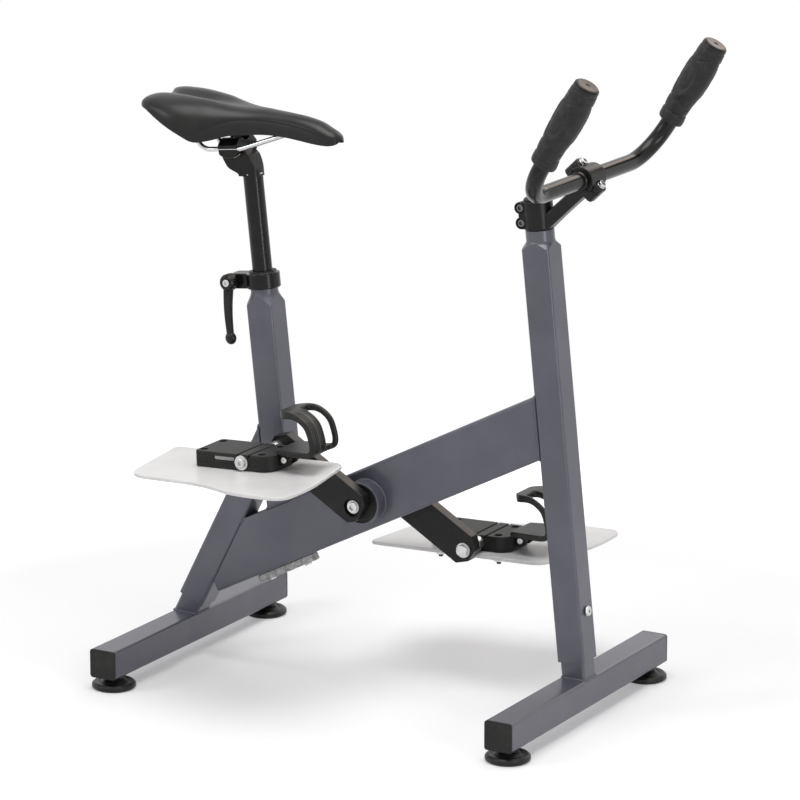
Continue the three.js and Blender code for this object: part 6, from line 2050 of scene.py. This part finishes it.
@dataclass
class Handlebar(Assembly):
    """The bent bar with its moulded grips and end discs."""

    radius: float = 11.1
    sleeve_radius: float = 12.7
    sleeve_half: float = 23.0
    half_span: float = 177.0
    bend: float = 58.0
    rise: float = 180.0
    lean: float = 30.7
    splay: float = 1.5
    grip_start: float = 60.0
    grip_length: float = 120.0
    palm: float = 21.0
    heel: float = 1.5
    grip_rows: int = 140
    grip_sides: int = 96
    plug_radius: float = 14.1
    shares: tuple[tuple[float, float, float], ...] = (
        (0, 0.8, 0.8), (0.03, 0.83, 0.83), (0.1, 0.81, 0.81), (0.12, 0.79, 0.79), (0.2, 0.82, 0.77),
        (0.26, 0.84, 0.765), (0.38, 0.9, 0.78), (0.5, 0.935, 0.8), (0.6, 0.945, 0.82), (0.7, 0.935, 0.83),
        (0.8, 0.89, 0.85), (0.88, 0.87, 0.85), (0.93, 0.845, 0.84), (0.955, 0.83, 0.83), (1, 0.8, 0.8))

    def build(self) -> None:
        """Builds the bar, the grips and the discs at their ends."""
        self.bar()
        for side in Side:
            self.grip(side)
            self.plug(side)

    def direction(self, side: Side) -> Vector:
        """Which way a grip points, in the bar's frame."""
        lean, splay = math.radians(self.lean), math.radians(self.splay)
        ahead = math.cos(splay)
        return Vector((ahead * math.sin(lean), side.value * math.sin(splay), ahead * math.cos(lean)))

    def end_place(self, side: Side, along: float) -> Matrix:
        """A place on the axis of a grip, its Z along the grip."""
        start = Vector((0, side.value * self.half_span, 0)) + self.direction(side) * along
        turn = UP.rotation_difference(self.direction(side)).to_matrix().to_4x4()
        return BAR @ Matrix.Translation(start) @ turn

    def bar(self) -> None:
        """The tube, swept through its two bends, with the sleeve in the clamp."""
        setback = self.bend * math.tan(math.radians(90 - self.splay) / 2)
        corners = [Vector((0, side.value * self.half_span, 0)) for side in Side]
        ends = [corner + self.direction(side) * self.rise for corner, side in zip(corners, Side)]
        line = bent_line([ends[0], corners[0], corners[1], ends[1]], [0, setback, setback, 0], 28)
        tube = Solid.swept(line, circle(self.radius, 56), FORWARD)
        tube.placed(BAR).piece("handlebar_tube", GLOSS, "handlebar", ["handlebar"])
        profile = fillet([(self.radius - 1, -self.sleeve_half - 3, 0), (self.sleeve_radius, -self.sleeve_half, 1),
                          (self.sleeve_radius, self.sleeve_half, 1), (self.radius - 1, self.sleeve_half + 3, 0)], 4)
        sleeve = Solid.turned(profile, Axis.Y, 80, ring=True).placed(BAR)
        sleeve.piece("handlebar_sleeve", GLOSS, "handlebar")

    def grip(self, side: Side) -> None:
        """A moulded grip with a palm swell, raised panels, oval dimples and a collar."""
        rings = []
        for row in range(self.grip_rows + 1):
            along = row / self.grip_rows
            deep, wide = interpolated(self.shares, along)
            ring = []
            for step in range(self.grip_sides):
                turn = math.tau * step / self.grip_sides
                reach = self.relief(along, turn)
                drop = self.heel * math.exp(-((along - 0.2) / 0.15) ** 2)
                ring.append(Vector((math.cos(turn) * (deep * self.palm + reach) - drop,
                                    math.sin(turn) * (wide * self.palm + reach), along * self.grip_length)))
            rings.append(ring)
        grip = Solid.lofted(rings)
        bore = Solid.bar(self.radius + GAP, -5, 3, edge=0, sides=48)
        grip = grip.cut(bore).placed(self.end_place(side, self.grip_start))
        grip.piece(f"grip_sleeve_{side.word}", GRIP, "handlebar", [f"grip_{side.word}"], smooth=60)

    def relief(self, along: float, turn: float) -> float:
        """How far the skin stands out at a place on the grip, in millimetres.

        Args:
            along: share of the grip's length.
            turn: round the grip from the front, in radians.

        Returns:
            The height of the relief.
        """
        def groove(distance: float, half: float) -> float:
            return math.exp(-((distance / half) ** 2))

        reach = -1.0 * groove(along - 0.125, 0.011) - 0.9 * groove(along - 0.955, 0.009)
        aside = abs(math.sin(turn + 0.5))
        oval = math.hypot((along - 0.55) / 0.23, (1 - aside) / 0.3)
        reach += 0.9 * groove(oval - 1, 0.13) - 0.5 * groove(oval - 1.3, 0.13) - 0.8 * groove(oval - 0.62, 0.16)
        wave = 0.83 + 0.05 * math.cos(2 * turn + 1)
        low_wave = 0.27 - 0.06 * math.cos(2 * turn + 1)
        return reach - 1.0 * groove(along - wave, 0.012) - 1.0 * groove(along - low_wave, 0.012)

    def plug(self, side: Side) -> None:
        """The glossy disc that closes a grip."""
        rows = fillet([(0, 0, 0), (self.plug_radius + 1.6, 0, 0.4), (self.plug_radius + 1.2, 1.6, 0.8),
                       (self.plug_radius - 0.6, 2.4, 0.8), (3.4, 2.1, 0.6), (2.6, 1.3, 0.5), (0, 1.3, 0)], 4)
        disc = Solid.turned(rows, sides=80).placed(self.end_place(side, self.grip_start + self.grip_length + 0.2))
        disc.piece(f"grip_disc_{side.word}", END_DISC, "handlebar", [f"grip_plug_{side.word}"])


# Studio


@dataclass
class Studio:
    """Pale floor, soft lights and the camera of the photograph."""

    camera_place: Point = (2.73571, -4.79394, 1.79429)
    azimuth: float = 29.734
    elevation: float = 14.164
    roll: float = 0.097
    lens: float = 191.84
    floor_size: float = 14.0
    floor_colour: Point = (0.93, 0.93, 0.93)
    glow_share: float = 0.09
    near_glow: float = 2.7
    clear_from: float = 0.75
    clear_to: float = 1.5

    def build(self) -> None:
        """Builds the studio."""
        self.set_camera()
        self.set_world()
        self.lay_floor()
        self.hang_lights()
        bpy.context.scene.view_settings.view_transform = "Standard"

    def set_camera(self) -> None:
        """Places the camera as the photograph was taken."""
        data = bpy.data.cameras.new("camera")
        data.lens, data.sensor_width = self.lens, 36
        data.clip_start, data.clip_end = 0.1, 100
        item = linked("camera", data)
        a, e = math.radians(self.azimuth), math.radians(self.elevation)
        back = Vector((math.sin(a) * math.cos(e), -math.cos(a) * math.cos(e), math.sin(e)))
        turn = (-back).to_track_quat("-Z", "Y").to_matrix().to_4x4()
        item.matrix_world = (Matrix.Translation(self.camera_place) @ turn
                             @ Matrix.Rotation(math.radians(self.roll), 4, "Z"))
        bpy.context.scene.camera = item

    def seen_directly(self, graph: Graph) -> Value:
        """One for rays that show the background itself, in a mirror or through glass."""
        path = graph.node("ShaderNodeLightPath")
        kinds = [Signal(graph, path.outputs[name])
                 for name in ("Is Camera Ray", "Is Glossy Ray", "Is Transmission Ray")]
        total = kinds[0] + kinds[1] + kinds[2]
        return graph.math("MINIMUM", total, 1)

    def set_world(self) -> None:
        """A plain dim world that looks white behind the bike."""
        world = bpy.data.worlds.new("studio")
        bpy.context.scene.world = world
        graph = Graph(world)
        dim = graph.node("ShaderNodeBackground", {}, {"Color": (0.34, 0.34, 0.355, 1)})
        bright = graph.node("ShaderNodeBackground", {}, {"Color": (1, 1, 1, 1)})
        mix = graph.node("ShaderNodeMixShader", {},
                         {0: self.seen_directly(graph), 1: dim.outputs[0], 2: bright.outputs[0]})
        graph.node("ShaderNodeOutputWorld", {}, {"Surface": mix.outputs[0]})

    def lay_floor(self) -> None:
        """A paper floor that is white to the camera away from the shadows."""
        half = self.floor_size / 2
        mesh = bpy.data.meshes.new("floor")
        mesh.from_pydata([(-half, -half, 0), (half, -half, 0), (half, half, 0), (-half, half, 0)], [],
                         [(0, 1, 2, 3)])
        item = linked("floor", mesh)
        graph = Graph(bpy.data.materials.new("floor_paper"))
        paper = graph.node("ShaderNodeBsdfDiffuse", {}, {"Color": (*self.floor_colour, 1)})
        centre = graph.node("ShaderNodeVectorMath", {"operation": "LENGTH"}, {0: graph.place}).outputs["Value"]
        clear = Signal(graph, centre).band(self.clear_from, self.clear_to)
        level = self.near_glow + (1 - self.near_glow) * clear
        glow = graph.node("ShaderNodeEmission", {}, {"Color": level, "Strength": 1.0})
        share = self.seen_directly(graph) * (self.glow_share + (1 - self.glow_share) * clear)
        mix = graph.node("ShaderNodeMixShader", {}, {0: share, 1: paper.outputs[0], 2: glow.outputs[0]})
        graph.node("ShaderNodeOutputMaterial", {}, {"Surface": mix.outputs[0]})
        mesh.materials.append(graph.owner)

    def hang_lights(self) -> None:
        """A large soft light overhead, a key in front and a fill."""
        rows = (
            ("overhead", (0.2, -0.4, 3.2), (0, 0, 0), 1.9, 1.9, 56, (1, 1, 1)),
            ("key", (-2.6, -3.2, 2.6), (0, 0, 0.5), 1.2, 1.6, 34, (1, 1, 1)),
            ("fill", (2.9, -1.35, 0.8), (0, 0, 0.6), 0.4, 1.5, 17, (0.97, 0.98, 1)),
            ("rim", (0.2, 3.6, 2.6), (0, 0, 0.5), 1.6, 1.6, 16, (1, 0.82, 0.7)),
        )
        for name, place, target, width, height, power, colour in rows:
            data = bpy.data.lights.new(name, "AREA")
            data.shape, data.size, data.size_y = "RECTANGLE", width, height
            data.energy, data.color = power, colour
            item = linked(name, data)
            item.visible_camera = False
            item.location = place
            item.rotation_euler = (Vector(target) - Vector(place)).to_track_quat("-Z", "Y").to_euler()


def main() -> None:
    """Builds the studio and dresses the bike."""
    Studio().build()
    assemblies: list[Assembly] = [
        FootBeam("front", FRONT_POST), FootBeam("rear", REAR_POST), FrameTubes(), WeldBeads(), Anode(), CrankSet(),
        Pedal(Side.RIGHT, 2.5), Pedal(Side.LEFT, 1.5), SeatClamp(), SeatPost(), Saddle(), Stem(), Handlebar(),
    ]
    for assembly in assemblies:
        assembly.build()
        log.info("%s built", type(assembly).__name__)


if __name__ == "__main__":
    main()
